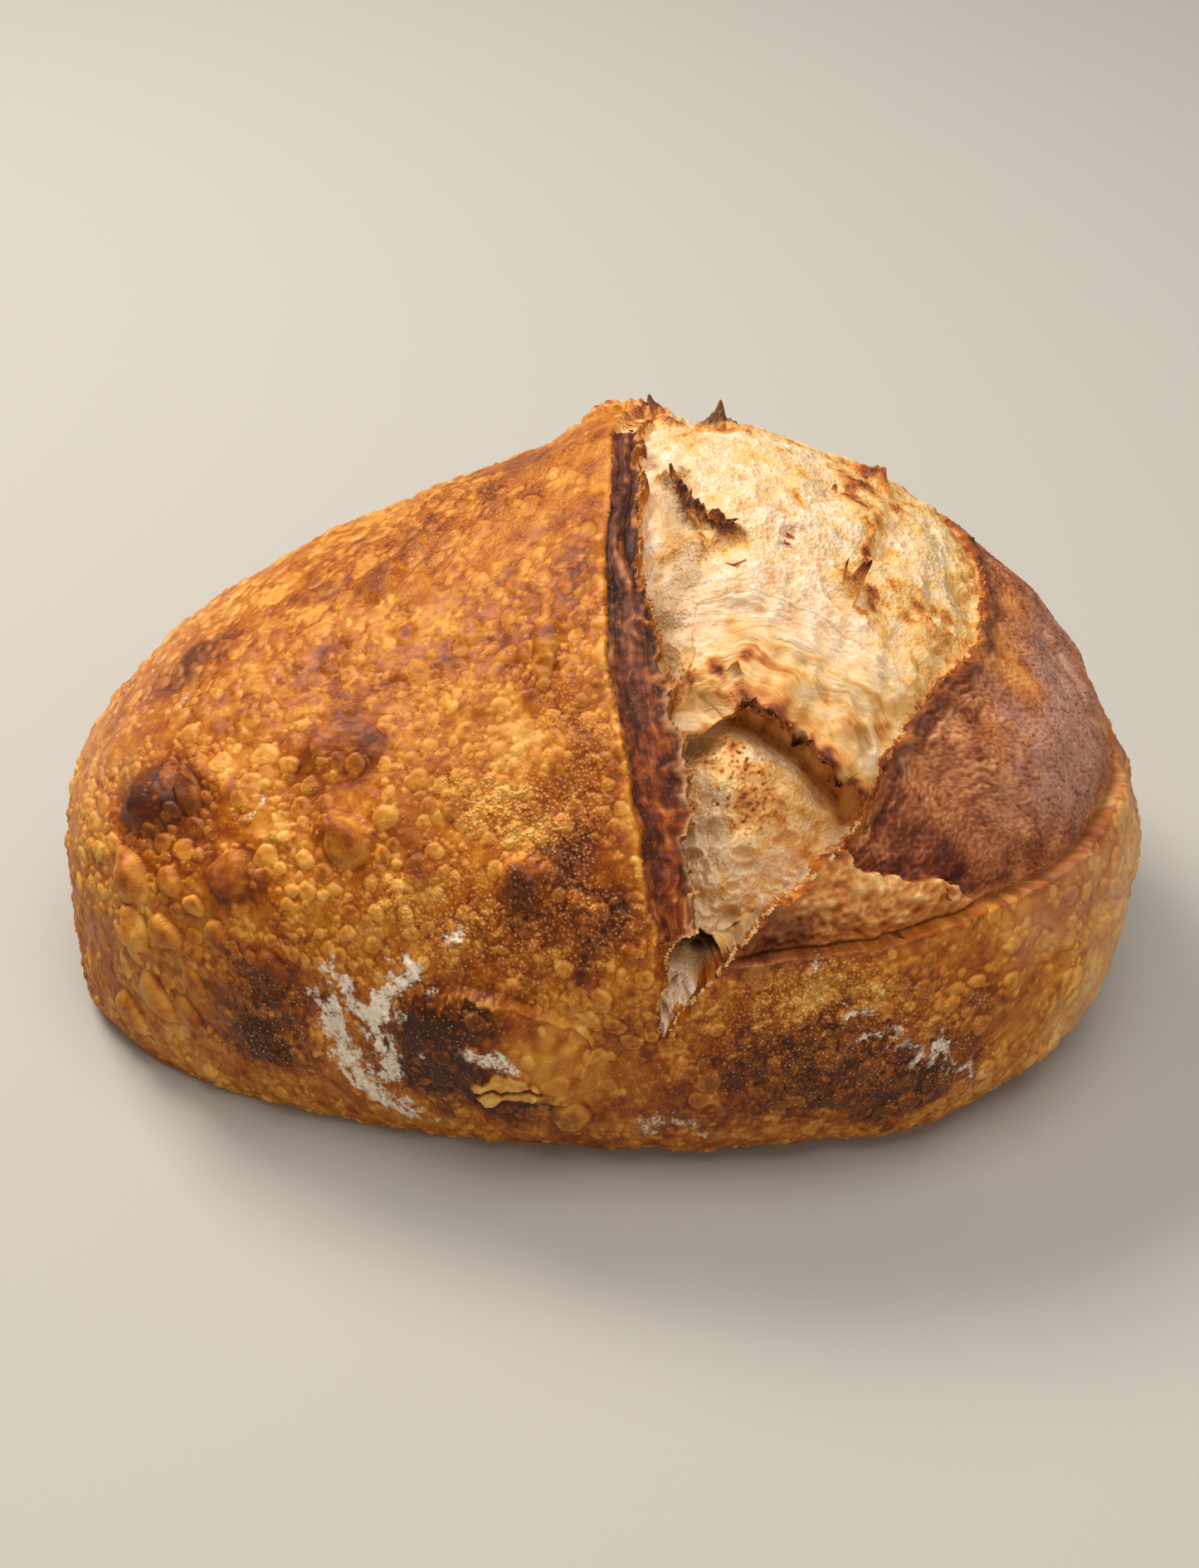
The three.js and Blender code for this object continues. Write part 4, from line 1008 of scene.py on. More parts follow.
# from here the threads' height only sets the crumb's colour; below, the pocket is painted darker as shade
strand = mix(strand, lowerStrand, lower)
strand = mix(strand, 0.5 * cloud(126, 0.9) + 0.6, 0.7 * membrane)
strand = strand * (1 - 0.7 * spread) + crumbled * clouds(0.8, (0.8, 126, 0.9))
strand = strand + inCleft * (0.8 + 0.7 * cleftLumps) * (1 - pocket) - 1.6 * pocket * opened

toastPlaces = [  # the toasted ridges: u, v, radius u, radius v, turn, amount
    (80, 30, 5, 44, 0, 0.3), (62, 10, 16, 34, 0, 0.17), (50, 0, 3.5, 14, 12, 0.44),
    (51, 12, 3, 6, 0, 0.4), (58, -14, 14, 20, 0, 0.13), (54, 24, 4.5, 11, 0, 0.45),
    (57, 37, 6, 10, 20, 0.42), (60, 44, 7, 5, 0, 0.3), (40, 55, 30, 8, -10, 0.45),
    (24, 55, 8, 8, 0, 0.34), (16, 36, 5, 7, 0, 0.45), (8, 50, 7, 8, 0, 0.26),
    (36, -37, 22, 4, -14, 0.34), (30, -30, 28, 6, -10, 0.2), (54, -38, 7, 16, -30, 0.16),
    (27, -53, 13, 6, -12, 0.32), (31, -62, 9, 6, -30, 0.3), (20, -45, 5, 3, 0, 0.3),
    (9, 5, 3, 8, 0, 0.35), (34, 18, 4, 3, 30, 0.2), (26, 4, 3, 2, 0, 0.3), (38, 16, 2, 5, 20, 0.3),
    (68, -8, 8, 14, 40, 0.28), (12, -31, 7, 4, -20, 0.3), (26, 24, 16, 10, 20, 0.12),
    (40, 30, 20, 8, -20, 0.16), (17, 4, 6, 8, -50, 0.4), (24, -85, 5, 12, -30, 0.2),
    (70, 50, 10, 20, 30, 0.3), (22, -24, 18, 6, -10, 0.12),
]
hollowShadePlaces = [  # the hollows, where shade is painted into the crumb's colour
    (13.5, -44.5, 5.5, 3.5, 20, 0.8), (12, -68, 3, 4, 10, 0.45), (20, -66, 5, 3, 20, 0.3),
    (21, -88, 5, 3, 20, 0.3), (9, 16, 4, 10, 0, 0.85), (9, -18, 4, 10, 0, 0.7), (8, -10, 3, 6, 0, 0.6),
    (49, -42, 3, 1.6, -50, 0.5), (14, -76, 4, 2.4, 0, 0.2), (8, -2, 3, 8, 0, 0.5),
]
burntPlaces = [
    (13.5, 14, 1.6, 5, -28, 0.5), (18, 6, 2, 3.2, -40, 0.5), (48, -4, 1.2, 3, 20, 0.15),
    (36, 6, 0.7, 1.4, 20, 0.45), (35, 4, 0.6, 1.2, 20, 0.4), (23.7, -3.5, 2, 0.5, -10, 0.4),
    (46.5, 27, 0.8, 1.8, 0, 0.5),
]
speckledPlaces = [  # with fine scorched crumbs
    (22, -50, 11, 5, -12, 1.0), (16, -60, 5, 4, 0, 0.9), (29, -61, 7, 5, 0, 0.6),
    (12, -31, 7, 4, 0, 0.5),
]


def crumbMarks():
    onShelf = grip(shelf.share, 0.05, 0.95)
    wall = opened * ease(0.2, 1.2, shelf.distance) * (1 - ease(2, 6, shelf.distance)) * onShelf
    paleRim = nearestRim * (1 - ease(-70, -56, mapV))
    toast = patches(toastPlaces) * np.clip(clouds(0.9, (0.25, 101, 3)) + 0.2 * strand, 0, 1.6)
    toast += 0.08 * np.maximum(cloud(102, 7), 0) + 0.1 * np.maximum(cloud(106, 2.5), 0)
    toast += 0.1 * stranded * np.maximum(strands - 0.3, 0)
    toast += overShelf * bell(shelf.distance + 0.1, 0.7) * onShelf * clouds(0.5, (0.3, 103, 3))
    toast += overShelf * bell(shelf.distance, 3.5) * onShelf * clouds(0.14, (0.08, 107, 4)) + 0.12 * lower
    toast += 0.34 * overShelf * bell(shelf.distance + 1.2, 2.2) * ease(0.3, 0.5, shelf.share) * onShelf
    crown = clouds(0.6, (0.12, 127, 1.6)) + 0.3 * ease(0.5, 0.95, pointTip)
    toast += 0.3 * pointTip * (1 - hump) + hump * crown + 0.55 * ridgeNear
    toast += clouds(0.34, (0.08, 108, 4)) * wall * ease(0.25, 0.45, shelf.share)
    alongEdge = 0.35 * bell(depthIn, 1.0) * clouds(0.8, (0.4, 104, 3)) * ease(-104, -90, mapV)
    toast += alongEdge * (1 - 0.95 * paleRim) * (1 - hump)
    toast += 0.24 * bell(depthIn, 5.5) * nearestRim * ease(-40, -20, mapV)
    toast += 0.2 * inCleft * np.maximum(-cleftLumps, 0) * (1 - pocket) + 0.5 * pocket * opened
    toast = toast * (1 - 0.8 * inCleft * (1 - pocket))
    # painted shade in the hollows, the pores and the cleft's pocket
    hollow = patches(hollowShadePlaces) + 0.2 * np.clip(sunk, 0, 1.5) + pocket
    scorchAndShade = patches(burntPlaces) + 0.85 * ease(0.2, 0.65, pointTip) * (1 - hump) * (mapU < 40)
    scorchAndShade = scorchAndShade + 0.8 * ridgeNear * (ridgeUneven > 0.55)
    # painted shade: the cleft's pocket and the wall under its lip are darkened
    scorchAndShade = scorchAndShade + (0.45 * pocket + 0.6 * bell(pocketLip - 0.8, 1.0) * byPocket) * opened
    speckle = np.maximum(cloud(105, 0.8) - 0.7, 0) * (patches(speckledPlaces) + 0.12 * wall)
    return unit(toast + 0.7 * speckle), unit(hollow), unit(scorchAndShade + 0.4 * speckle)


toast, hollowShadeMark, scorchAndShade = crumbMarks()

# relief and marks come together

relief = crustRelief * crusty * (1 - lobe) + (lobeRelief + 0.6 * bubble) * crusty * lobe
relief += band * earRelief * ease(0, 0.1, acrossBand) * (1 - ease(0.92, 1, acrossBand))
relief += 0.6 * crest + 0.5 * freeEdge - 0.8 * creaseMark * crusty
moundRelief = hump * clouds(0, (0.08, 113, 1.3), (0.2, 114, 2.8))
relief += opened * crumbRelief - 0.7 * foldShadowLine * crusty + moundRelief
rise = (rise + relief) * standing + (1 - standing) * crustRelief * ease(0.5, 6, fromFoot) * 0.6

# the painted sheen: on the lobe, and on the far crust
paintedSheenMark = np.maximum(paintedLobeSheen * lobe, paintedFarSheen * (1 - lobe)) * crusty
# colour follows the threads' height: warmer and darker where they lie low, paler on top and on the pores'
# lit rims; partly the fibres' own colour, partly painted shade and highlight
fibreAndShadeMark = 0.5 + 0.25 * strand + 0.22 * lit + 0.1 * cloud(100, 4, 0.7) + 0.06 * wisps
drawnMark = np.maximum(stranded * overShelf, 0.35 * lower * (1 - inCleft))
marks = {  # each carries three masks
    "bakeMarks": (unit(tone + 0.1 * bell(depthIn, 0.9) * crusty), unit(paleMark) * crusty, char * crusty),
    "dustMarks": (flour * crusty, unit(lobe), unit(ringMark)),
    "crumbMarks": (toast, hollowShadeMark, unit(fibreAndShadeMark)),
    "tearMarks": (redder, scorchAndShade, unit(earStreak)),
    # its first mask is the painted sheen
    "sheenAndEarMarks": (paintedSheenMark, unit(strip), unit(crest + 0.8 * freeEdge)),
    # its second mask is the dark rim with the crease's and the fold's painted shade
    "lobeMarks": (unit(lobeTone), unit(rimDark + 0.7 * foldShadowLine) * crusty, flaky),
    "grainMarks": (dusty, rough * crusty, unit(drawnMark)),
}

# the way the finest grain runs: along the shelf, along the ear, or across the lobe
lobeAlong, lobeAcross = turned(mapU, mapV, lobeLook["grainTurn"])
grainAlong, grainAcross = mix(mapU, lobeAlong, lobe > 0.5), mix(mapV, lobeAcross, lobe > 0.5)
alongStrands = (isOpen & (shelfBand > 0.35)) | (lower > 0.5)
grainAlong = np.where(alongStrands, alongShelf, np.where(onBand, lip.along, grainAlong))
grainAcross = np.where(alongStrands, fromShelf, np.where(onBand, lip.distance, grainAcross))

footU, footV = crustMap["foot"] * crustMap["stretchU"], crustMap["foot"] * crustMap["stretchV"]
grid = {  # map places in mm, each with the number of steps up to it from the one before
    "columns": [(-footU, 0), (-130, 190), (0, 320), (7, 24), (60, 190), (140, 190), (footU, 140)],
    "rows": [(-footV, 0), (-140, 72), (60, 560), (footV, 136)],
    "earZone": (-46, 7, 60),  # left end, free edge and right end
}


def spaced(stops):
    parts = [np.linspace(a, b, n, endpoint=False) for (a, _), (b, n) in zip(stops[:-1], stops[1:])]
    return np.concatenate(parts + [[stops[-1][0]]]) / stops[-1][0]


def ovalPlace(s, t):
    wide = np.abs(s) > np.abs(t)
    radius = np.where(wide, s, t)
    safe = np.where(radius == 0, 1, radius)
    angle = np.where(wide, math.pi / 4 * t / safe, math.pi / 2 - math.pi / 4 * s / safe)
    reach = crustMap["foot"] * radius
    return crustMap["stretchU"] * reach * np.cos(angle), crustMap["stretchV"] * reach * np.sin(angle)


def followEar(s, t):  # columns near the cut follow the ear's lip and its free edge
    u, v = ovalPlace(s, t)
    left, bandEnd, right = grid["earZone"]
    bandU = ovalPlace(np.full_like(t, bandEnd / footU), t)[0]
    toLip = np.interp(v, lines["earLip"][:, 1], lines["earLip"][:, 0])
    edgeLine = lines["earEdge"][np.argsort(lines["earEdge"][:, 1])]
    toEdge = np.interp(v, edgeLine[:, 1], edgeLine[:, 0])
    moved = np.where(u < 0, left + (u - left) / -left * (toLip - left), u)
    inBand = (u >= 0) & (u < bandU)
    moved = np.where(inBand, toLip + u / bandU * (toEdge - toLip), moved)
    moved = np.where(u >= bandU, toEdge + (u - bandU) / (right - bandU) * (right - toEdge), moved)
    return np.where((u <= left) | (u >= right), u, moved), v


def torn(u, v):  # the finished surface, in mm, over places of the map
    placeU = u + sample(slideU, u, v)
    placeV = v + sample(slideV, u, v)
    return plainLoaf(placeU, placeV) + plainNormal(placeU, placeV) * sample(rise, u, v)[..., None]


print("lifting the crust")
gridU, gridV = followEar(*np.meshgrid(spaced(grid["columns"]), spaced(grid["rows"])))
points = torn(gridU, gridV)
points[..., 2] = np.maximum(points[..., 2], crustMap["clearance"])
for side in (0, -1):
    points[side, :, 2] = 0
    points[:, side, 2] = 0
points = np.clip(points / 1000, cadBox[0], cadBox[1])
gridMarks = {
    name: np.stack([sample(channel, gridU, gridV) for channel in channels] + [np.ones(gridU.shape)], -1)
    for name, channels in marks.items()
}
onCrumb = sample(np.maximum(opened, hump), gridU, gridV) > 0.5
onEar = sample(band, gridU, gridV) > 0.5
gridKind = np.where(onCrumb, 2, np.where(onEar, 1, 0))  # the number of the material
gridGrain = np.stack([sample(grainAlong, gridU, gridV), sample(grainAcross, gridU, gridV)], -1)
normals = np.cross(np.gradient(points, axis=1), np.gradient(points, axis=0))
normals /= np.linalg.norm(normals, axis=-1, keepdims=True) + 1e-12
print("grid:", points.shape)


def node(tree, kind, **values):  # nodes are laid out in rows of eight, in the order they are made
    made = tree.nodes.new(kind)
    row, column = divmod(len(tree.nodes), 8)
    made.location = (220 * column - 900, 500 - 260 * row)
    for key, value in values.items():
        if key.startswith("_"):
            made.inputs[key[1:].replace("_", " ")].default_value = value
        else:
            setattr(made, key, value)
    return made


def feed(tree, socket, value):  # a number or a screen colour is set, and an output is linked
    if isinstance(value, (int, float)):
        socket.default_value = value
    elif isinstance(value, tuple):
        socket.default_value = (*linear(value), 1)
    elif value is not None:
        tree.links.new(value, socket)


def maths(tree, operation, first, second=None, third=None, clamp=False):
    made = node(tree, "ShaderNodeMath", operation=operation, use_clamp=clamp)
    for socket, value in zip(made.inputs, (first, second, third)):
        feed(tree, socket, value)
    return made.outputs[0]


def times(tree, first, second, clamp=False):
    return maths(tree, "MULTIPLY", first, second, clamp=clamp)


def timesPlus(tree, first, second, third, clamp=False):
    return maths(tree, "MULTIPLY_ADD", first, second, third, clamp)


def linear(colour):  # an 0 to 255 screen colour as Blender keeps it
    shares = [value / 255 for value in colour]
    return tuple(s / 12.92 if s <= 0.04045 else ((s + 0.055) / 1.055) ** 2.4 for s in shares)


def ramp(tree, stops, factor):
    made = node(tree, "ShaderNodeValToRGB")
    elements = made.color_ramp.elements
    for element, (position, colour) in zip(elements, (stops[0], stops[-1])):
        element.position, element.color = position, (*linear(colour), 1)
    for position, colour in stops[1:-1]:
        elements.new(position).color = (*linear(colour), 1)
    tree.links.new(factor, made.inputs[0])
    return made.outputs[0]


def smoothly(tree, value, start, end):  # eases from 0 at start to 1 at end
    made = node(tree, "ShaderNodeMapRange", interpolation_type="SMOOTHSTEP")
    made.inputs["From Min"].default_value = start
    made.inputs["From Max"].default_value = end
    tree.links.new(value, made.inputs["Value"])
    return made.outputs[0]


def blend(tree, factor, first, second):
    made = node(tree, "ShaderNodeMix", data_type="RGBA", blend_type="MIX")
    for number, value in ((0, factor), (6, first), (7, second)):
        feed(tree, made.inputs[number], value)
    return made.outputs[2]


def group(name, inputs, outputs):
    tree = bpy.data.node_groups.new(name, "ShaderNodeTree")
    for label, kind, value in inputs:
        socket = tree.interface.new_socket(label, in_out="INPUT", socket_type=kind)
        if value is not None:
            socket.default_value = value
    for label, kind in outputs:
        tree.interface.new_socket(label, in_out="OUTPUT", socket_type=kind)
    return tree, node(tree, "NodeGroupInput"), node(tree, "NodeGroupOutput")


bakedLook = {
    "crust": [
        (0.0, (242, 200, 118)), (0.2, (228, 164, 72)), (0.38, (204, 130, 42)), (0.52, (177, 95, 15)),
        (0.68, (134, 60, 6)), (0.84, (92, 36, 8)), (1.0, (50, 22, 12)),
    ],
    "blister": [
        (0.0, (250, 220, 146)), (0.3, (242, 188, 94)), (0.5, (226, 154, 60)), (0.7, (184, 102, 30)),
        (1.0, (114, 52, 16)),
    ],
    "ring": 0.6,
    "charred": (62, 28, 12),
}


def bakedColour():  # from pale straw over amber to nearly black
    sockets = (("Bake", 0.5), ("Blister", 0.0), ("Ring", 0.0), ("Char", 0.0))
    tree, given, out = group(
        "bakedColour",
        [(label, "NodeSocketFloat", value) for label, value in sockets],
        [("Color", "NodeSocketColor")],
    )
    crust = ramp(tree, bakedLook["crust"], given.outputs["Bake"])
    blister = ramp(tree, bakedLook["blister"], given.outputs["Bake"])
    mixed = blend(tree, given.outputs["Blister"], crust, blister)
    ring = times(tree, given.outputs["Ring"], bakedLook["ring"])
    ringed = blend(tree, ring, mixed, blister)
    charred = blend(tree, given.outputs["Char"], ringed, bakedLook["charred"])
    tree.links.new(charred, out.inputs["Color"])
    return tree


grainLook = {
    "mottle": 260.0,  # repeats to a metre
    "fine": 1300.0,
    "specksAndGlints": 620.0,
    "dust": 1150.0,
    "speckEdge": (0.26, 0.1),
    "granuleEdge": (0.62, 0.12),
    "dustEdge": (0.31, 0.17),
    "speckShare": 0.52,
    "dustShare": 0.58,
}


def fineGrain():  # pores, granules and specks too fine for the mesh; the specks are partly dust and partly painted glints
    look = grainLook
    labels = ("Mottle", "SpecksAndGlints", "Height", "Fine", "Granule", "Dust")
    tree, given, out = group(
        "fineGrain",
        [("Scale", "NodeSocketFloat", 1.0)],
        [(label, "NodeSocketFloat") for label in labels],
    )
    coordinates = node(tree, "ShaderNodeTexCoord")
    scaled = node(tree, "ShaderNodeVectorMath", operation="SCALE")
    tree.links.new(coordinates.outputs["Object"], scaled.inputs[0])
    tree.links.new(given.outputs["Scale"], scaled.inputs["Scale"])
    soft = node(tree, "ShaderNodeTexNoise", _Scale=look["mottle"], _Detail=4.0, _Roughness=0.6)
    fine = node(tree, "ShaderNodeTexNoise", _Scale=look["fine"], _Detail=2.0, _Roughness=0.6)
    cells = node(tree, "ShaderNodeTexVoronoi", _Scale=look["specksAndGlints"])
    grains = node(tree, "ShaderNodeTexVoronoi", _Scale=look["dust"])
    for texture in (soft, fine, cells, grains):
        tree.links.new(scaled.outputs[0], texture.inputs["Vector"])
    rare = maths(tree, "GREATER_THAN", soft.outputs[0], look["speckShare"])
    speck = smoothly(tree, cells.outputs["Distance"], *look["speckEdge"])
    specksAndGlints = times(tree, speck, rare)
    height = timesPlus(tree, fine.outputs[0], 0.6, specksAndGlints)
    granule = smoothly(tree, grains.outputs["Distance"], *look["granuleEdge"])
    chosen = maths(tree, "GREATER_THAN", grains.outputs["Color"], look["dustShare"])
    mote = smoothly(tree, grains.outputs["Distance"], *look["dustEdge"])
    dust = times(tree, mote, chosen)
    for value, label in zip((soft.outputs[0], specksAndGlints, height, fine.outputs[0], granule, dust), labels):
        tree.links.new(value, out.inputs[label])
    return tree


flourLook = {
    "grain": (2.4, -1.3),  # contrast and shift
    "reach": 2.2,
    "thickness": 1.3,
    "cover": 0.92,
    "colour": (252, 238, 216),
}


def flourDust():
    tree, given, out = group(
        "flourDust",
        [
            ("Color", "NodeSocketColor", None), ("Flour", "NodeSocketFloat", 0.0),
            ("Grain", "NodeSocketFloat", 0.5),
        ],
        [("Color", "NodeSocketColor"), ("Mask", "NodeSocketFloat")],
    )
    grain = timesPlus(tree, given.outputs["Grain"], *flourLook["grain"])
    covered = maths(tree, "ADD", given.outputs["Flour"], grain)
    where = times(tree, given.outputs["Flour"], flourLook["reach"], clamp=True)
    covered = times(tree, covered, where)
    thick = times(tree, covered, flourLook["thickness"], clamp=True)
    opaque = times(tree, thick, flourLook["cover"])
    dusted = blend(tree, opaque, given.outputs["Color"], flourLook["colour"])
    tree.links.new(dusted, out.inputs["Color"])
    tree.links.new(thick, out.inputs["Mask"])
    return tree


def fibres():  # threads finer than the mesh, drawn along the grain
    tree, given, out = group(
        "fibres",
        [("Scale", "NodeSocketFloat", 1.0), ("Stretch", "NodeSocketFloat", 10.0)],
        [("Thread", "NodeSocketFloat")],
    )
    source = node(tree, "ShaderNodeAttribute", attribute_name="grain")
    parts = node(tree, "ShaderNodeSeparateXYZ")
    tree.links.new(source.outputs["Vector"], parts.inputs[0])
    across = times(tree, parts.outputs[1], given.outputs["Scale"])
    drawn = maths(tree, "DIVIDE", given.outputs["Scale"], given.outputs["Stretch"])
    along = times(tree, parts.outputs[0], drawn)
    place = node(tree, "ShaderNodeCombineXYZ")
    tree.links.new(along, place.inputs[0])
    tree.links.new(across, place.inputs[1])
    thread = node(tree, "ShaderNodeTexNoise", _Scale=1.6, _Detail=3.0, _Roughness=0.6)
    thread.inputs["Distortion"].default_value = 0.6
    tree.links.new(place.outputs[0], thread.inputs["Vector"])
    tree.links.new(thread.outputs[0], out.inputs["Thread"])
    return tree


groups = {"baked": bakedColour(), "grain": fineGrain(), "flour": flourDust(), "fibres": fibres()}


def placed(tree, name, **links):
    made = node(tree, "ShaderNodeGroup", node_tree=groups[name])
    for key, value in links.items():
        feed(tree, made.inputs[key], value)
    return made.outputs


def newMaterial(name):
    material = bpy.data.materials.new(name)
    material.use_nodes = True
    tree = material.node_tree
    shader = tree.nodes["Principled BSDF"]
    shader.location = (1000, 0)
    tree.nodes["Material Output"].location = (1300, 0)
    return material, tree, shader


def masksOf(tree, attribute):
    source = node(tree, "ShaderNodeAttribute", attribute_name=attribute)
    split = node(tree, "ShaderNodeSeparateColor")
    tree.links.new(source.outputs["Color"], split.inputs[0])
    return list(split.outputs)


def markedMaterial(name):
    material, tree, shader = newMaterial(name)
    return material, tree, shader, {mark: masksOf(tree, mark) for mark in marks}


def finish(tree, shader, look, height):  # relief too fine for the mesh, and the plain values
    depth, strength = look["bump"]
    made = node(tree, "ShaderNodeBump", _Distance=depth, _Strength=strength)
    tree.links.new(height, made.inputs["Height"])
    tree.links.new(made.outputs[0], shader.inputs["Normal"])
    for socket, value in look["shader"].items():
        shader.inputs[socket].default_value = value


crustLook = {
    "mottle": 0.32,
    "granules": (-0.3, 0.1),
    "specksAndGlints": 0.16,
    "dust": 0.48,  # of the fine flour specks
    "crumbs": 0.26,  # of the baked granules
    "dustColour": (226, 180, 120),
    # the painted sheen: how strong, its colour on the crust, and on the lobe its mottle and colour
    "paintedSheen": 0.7,
    "paintedSheenColour": (204, 154, 124),
    "lobe": [
        (0.0, (78, 34, 22)), (0.3, (122, 62, 36)), (0.5, (154, 88, 52)), (0.7, (186, 118, 74)),
        (1.0, (222, 160, 112)),
    ],
    "lobeTone": (0.4, -0.2),  # the mottle's share, and the shift
    "lobeSheenMottle": (1.4, 0.05),
    "paintedLobeSheen": (186, 142, 124),
    "flake": [
        (0.0, (84, 36, 22)), (0.3, (140, 72, 32)), (0.55, (196, 116, 52)), (0.8, (228, 158, 86)),
        (1.0, (244, 196, 130)),
    ],
    # the dark rim's colour, also used for the painted shade in the crease and under the fold
    "rim": 0.75,
    "darkRimAndShadeColour": (70, 30, 26),
    "roughness": 0.34,
    "lobeRougher": 0.16,
    "flakeGlossier": 0.14,
    "flourRougher": 0.4,
    "mottleRougher": 0.25,
    "granuleHeight": 2.2,
    "bump": (0.00028, 0.7),  # metres and strength
    "shader": {"Specular IOR Level": 0.22},
}


def crustMaterial():
    look = crustLook
    material, tree, shader, masks = markedMaterial("bakedCrust")
    bake, pale, charred = masks["bakeMarks"]
    floured, lobed, ringed = masks["dustMarks"]
    lobeStreak, darkRimAndShade, flaky = masks["lobeMarks"]
    paintedSheen = masks["sheenAndEarMarks"][0]
    dustyMark, roughMark, _ = masks["grainMarks"]
    grain = placed(tree, "grain", Scale=1.0)
    mottled = timesPlus(tree, grain["Mottle"], look["mottle"], -look["mottle"] / 2)
    bakeTone = maths(tree, "ADD", bake, mottled, clamp=True)
    granular = timesPlus(tree, grain["Granule"], *look["granules"])
    granular = times(tree, roughMark, granular)
    bakeTone = maths(tree, "ADD", bakeTone, granular, clamp=True)
    # pale specks lighten the bake: painted glints as well as dust
    specked = timesPlus(tree, grain["SpecksAndGlints"], -look["specksAndGlints"], bakeTone, clamp=True)
    colour = placed(tree, "baked", Bake=specked, Blister=pale, Ring=ringed, Char=charred)["Color"]
    sugared = times(tree, dustyMark, look["dust"], clamp=True)
    sugared = times(tree, grain["Dust"], sugared)
    crumbs = times(tree, roughMark, grain["Granule"])
    sugared = timesPlus(tree, crumbs, look["crumbs"], sugared, clamp=True)
    colour = blend(tree, sugared, colour, look["dustColour"])
    # painted sheen: the colour turns pale where highlights are painted
    colour = blend(tree, times(tree, paintedSheen, look["paintedSheen"]), colour, look["paintedSheenColour"])

    share, shift = look["lobeTone"]
    streaked = timesPlus(tree, grain["Mottle"], share, maths(tree, "ADD", lobeStreak, shift))
    # and on the lobe, the mottled painted sheen
    lobeSheenShare = timesPlus(tree, grain["Mottle"], *look["lobeSheenMottle"])
    lobeSheenShare = times(tree, paintedSheen, lobeSheenShare, clamp=True)
    lobeColour = blend(tree, lobeSheenShare, ramp(tree, look["lobe"], streaked), look["paintedLobeSheen"])
    lobeColour = blend(tree, flaky, lobeColour, ramp(tree, look["flake"], streaked))
    colour = blend(tree, lobed, colour, lobeColour)
    colour = blend(tree, times(tree, darkRimAndShade, look["rim"]), colour, look["darkRimAndShadeColour"])
    dusted = placed(tree, "flour", Color=colour, Flour=floured, Grain=grain["Fine"])
    tree.links.new(dusted["Color"], shader.inputs["Base Color"])
    rough = timesPlus(tree, lobed, look["lobeRougher"], look["roughness"])
    rough = timesPlus(tree, flaky, -look["flakeGlossier"], rough)
    rough = timesPlus(tree, dusted["Mask"], look["flourRougher"], rough)
    rough = timesPlus(tree, grain["Mottle"], look["mottleRougher"], rough, clamp=True)
    tree.links.new(rough, shader.inputs["Roughness"])
    grainy = times(tree, roughMark, times(tree, grain["Granule"], look["granuleHeight"]))
    finish(tree, shader, look, maths(tree, "ADD", grain["Height"], grainy))
    return material


earLook = {
    "thread": (1.2, 20.0),  # scale and stretch
    "tone": (0.45, -0.2),  # the threads' share, and the shift
    "dark": [
        (0.0, (42, 20, 12)), (0.3, (72, 34, 18)), (0.5, (106, 54, 30)), (0.7, (146, 84, 50)),
        (0.85, (176, 116, 78)), (1.0, (206, 152, 108)),
    ],
    "red": [
        (0.0, (46, 18, 8)), (0.35, (96, 38, 10)), (0.6, (146, 66, 18)), (0.8, (178, 96, 38)),
        (1.0, (214, 152, 92)),
    ],
    "ragged": [
        (0.0, (120, 58, 24)), (0.35, (180, 102, 44)), (0.65, (216, 146, 72)), (1.0, (244, 200, 134)),
    ],
    "dust": 0.25,
    "dustColour": (204, 144, 108),
    "crest": 0.8,
    "crestColour": (230, 178, 124),
    "roughness": (0.4, 0.38),
    "grainHeight": 0.5,
    "bump": (0.0007, 0.7),
    "shader": {"Specular IOR Level": 0.26},
}


def earMaterial():
    look = earLook
    material, tree, shader, masks = markedMaterial("cutEar")
    redMark, _, streak = masks["tearMarks"]
    _, edgeStrip, crestLine = masks["sheenAndEarMarks"]
    grain = placed(tree, "grain", Scale=1.0)
    threads = placed(tree, "fibres", Scale=look["thread"][0], Stretch=look["thread"][1])
    share, shift = look["tone"]
    value = maths(tree, "ADD", streak, shift)
    value = timesPlus(tree, threads["Thread"], share, value)
    dark = ramp(tree, look["dark"], value)
    red = ramp(tree, look["red"], value)
    ragged = ramp(tree, look["ragged"], value)
    colour = blend(tree, edgeStrip, blend(tree, redMark, dark, red), ragged)
    dust = times(tree, grain["Dust"], look["dust"])
    colour = blend(tree, dust, colour, look["dustColour"])
    crestShare = times(tree, crestLine, look["crest"])
    colour = blend(tree, crestShare, colour, look["crestColour"])
    tree.links.new(colour, shader.inputs["Base Color"])
    rough = timesPlus(tree, grain["Mottle"], *look["roughness"], clamp=True)
    tree.links.new(rough, shader.inputs["Roughness"])
    height = timesPlus(tree, grain["Height"], look["grainHeight"], threads["Thread"])
    finish(tree, shader, look, height)
    return material


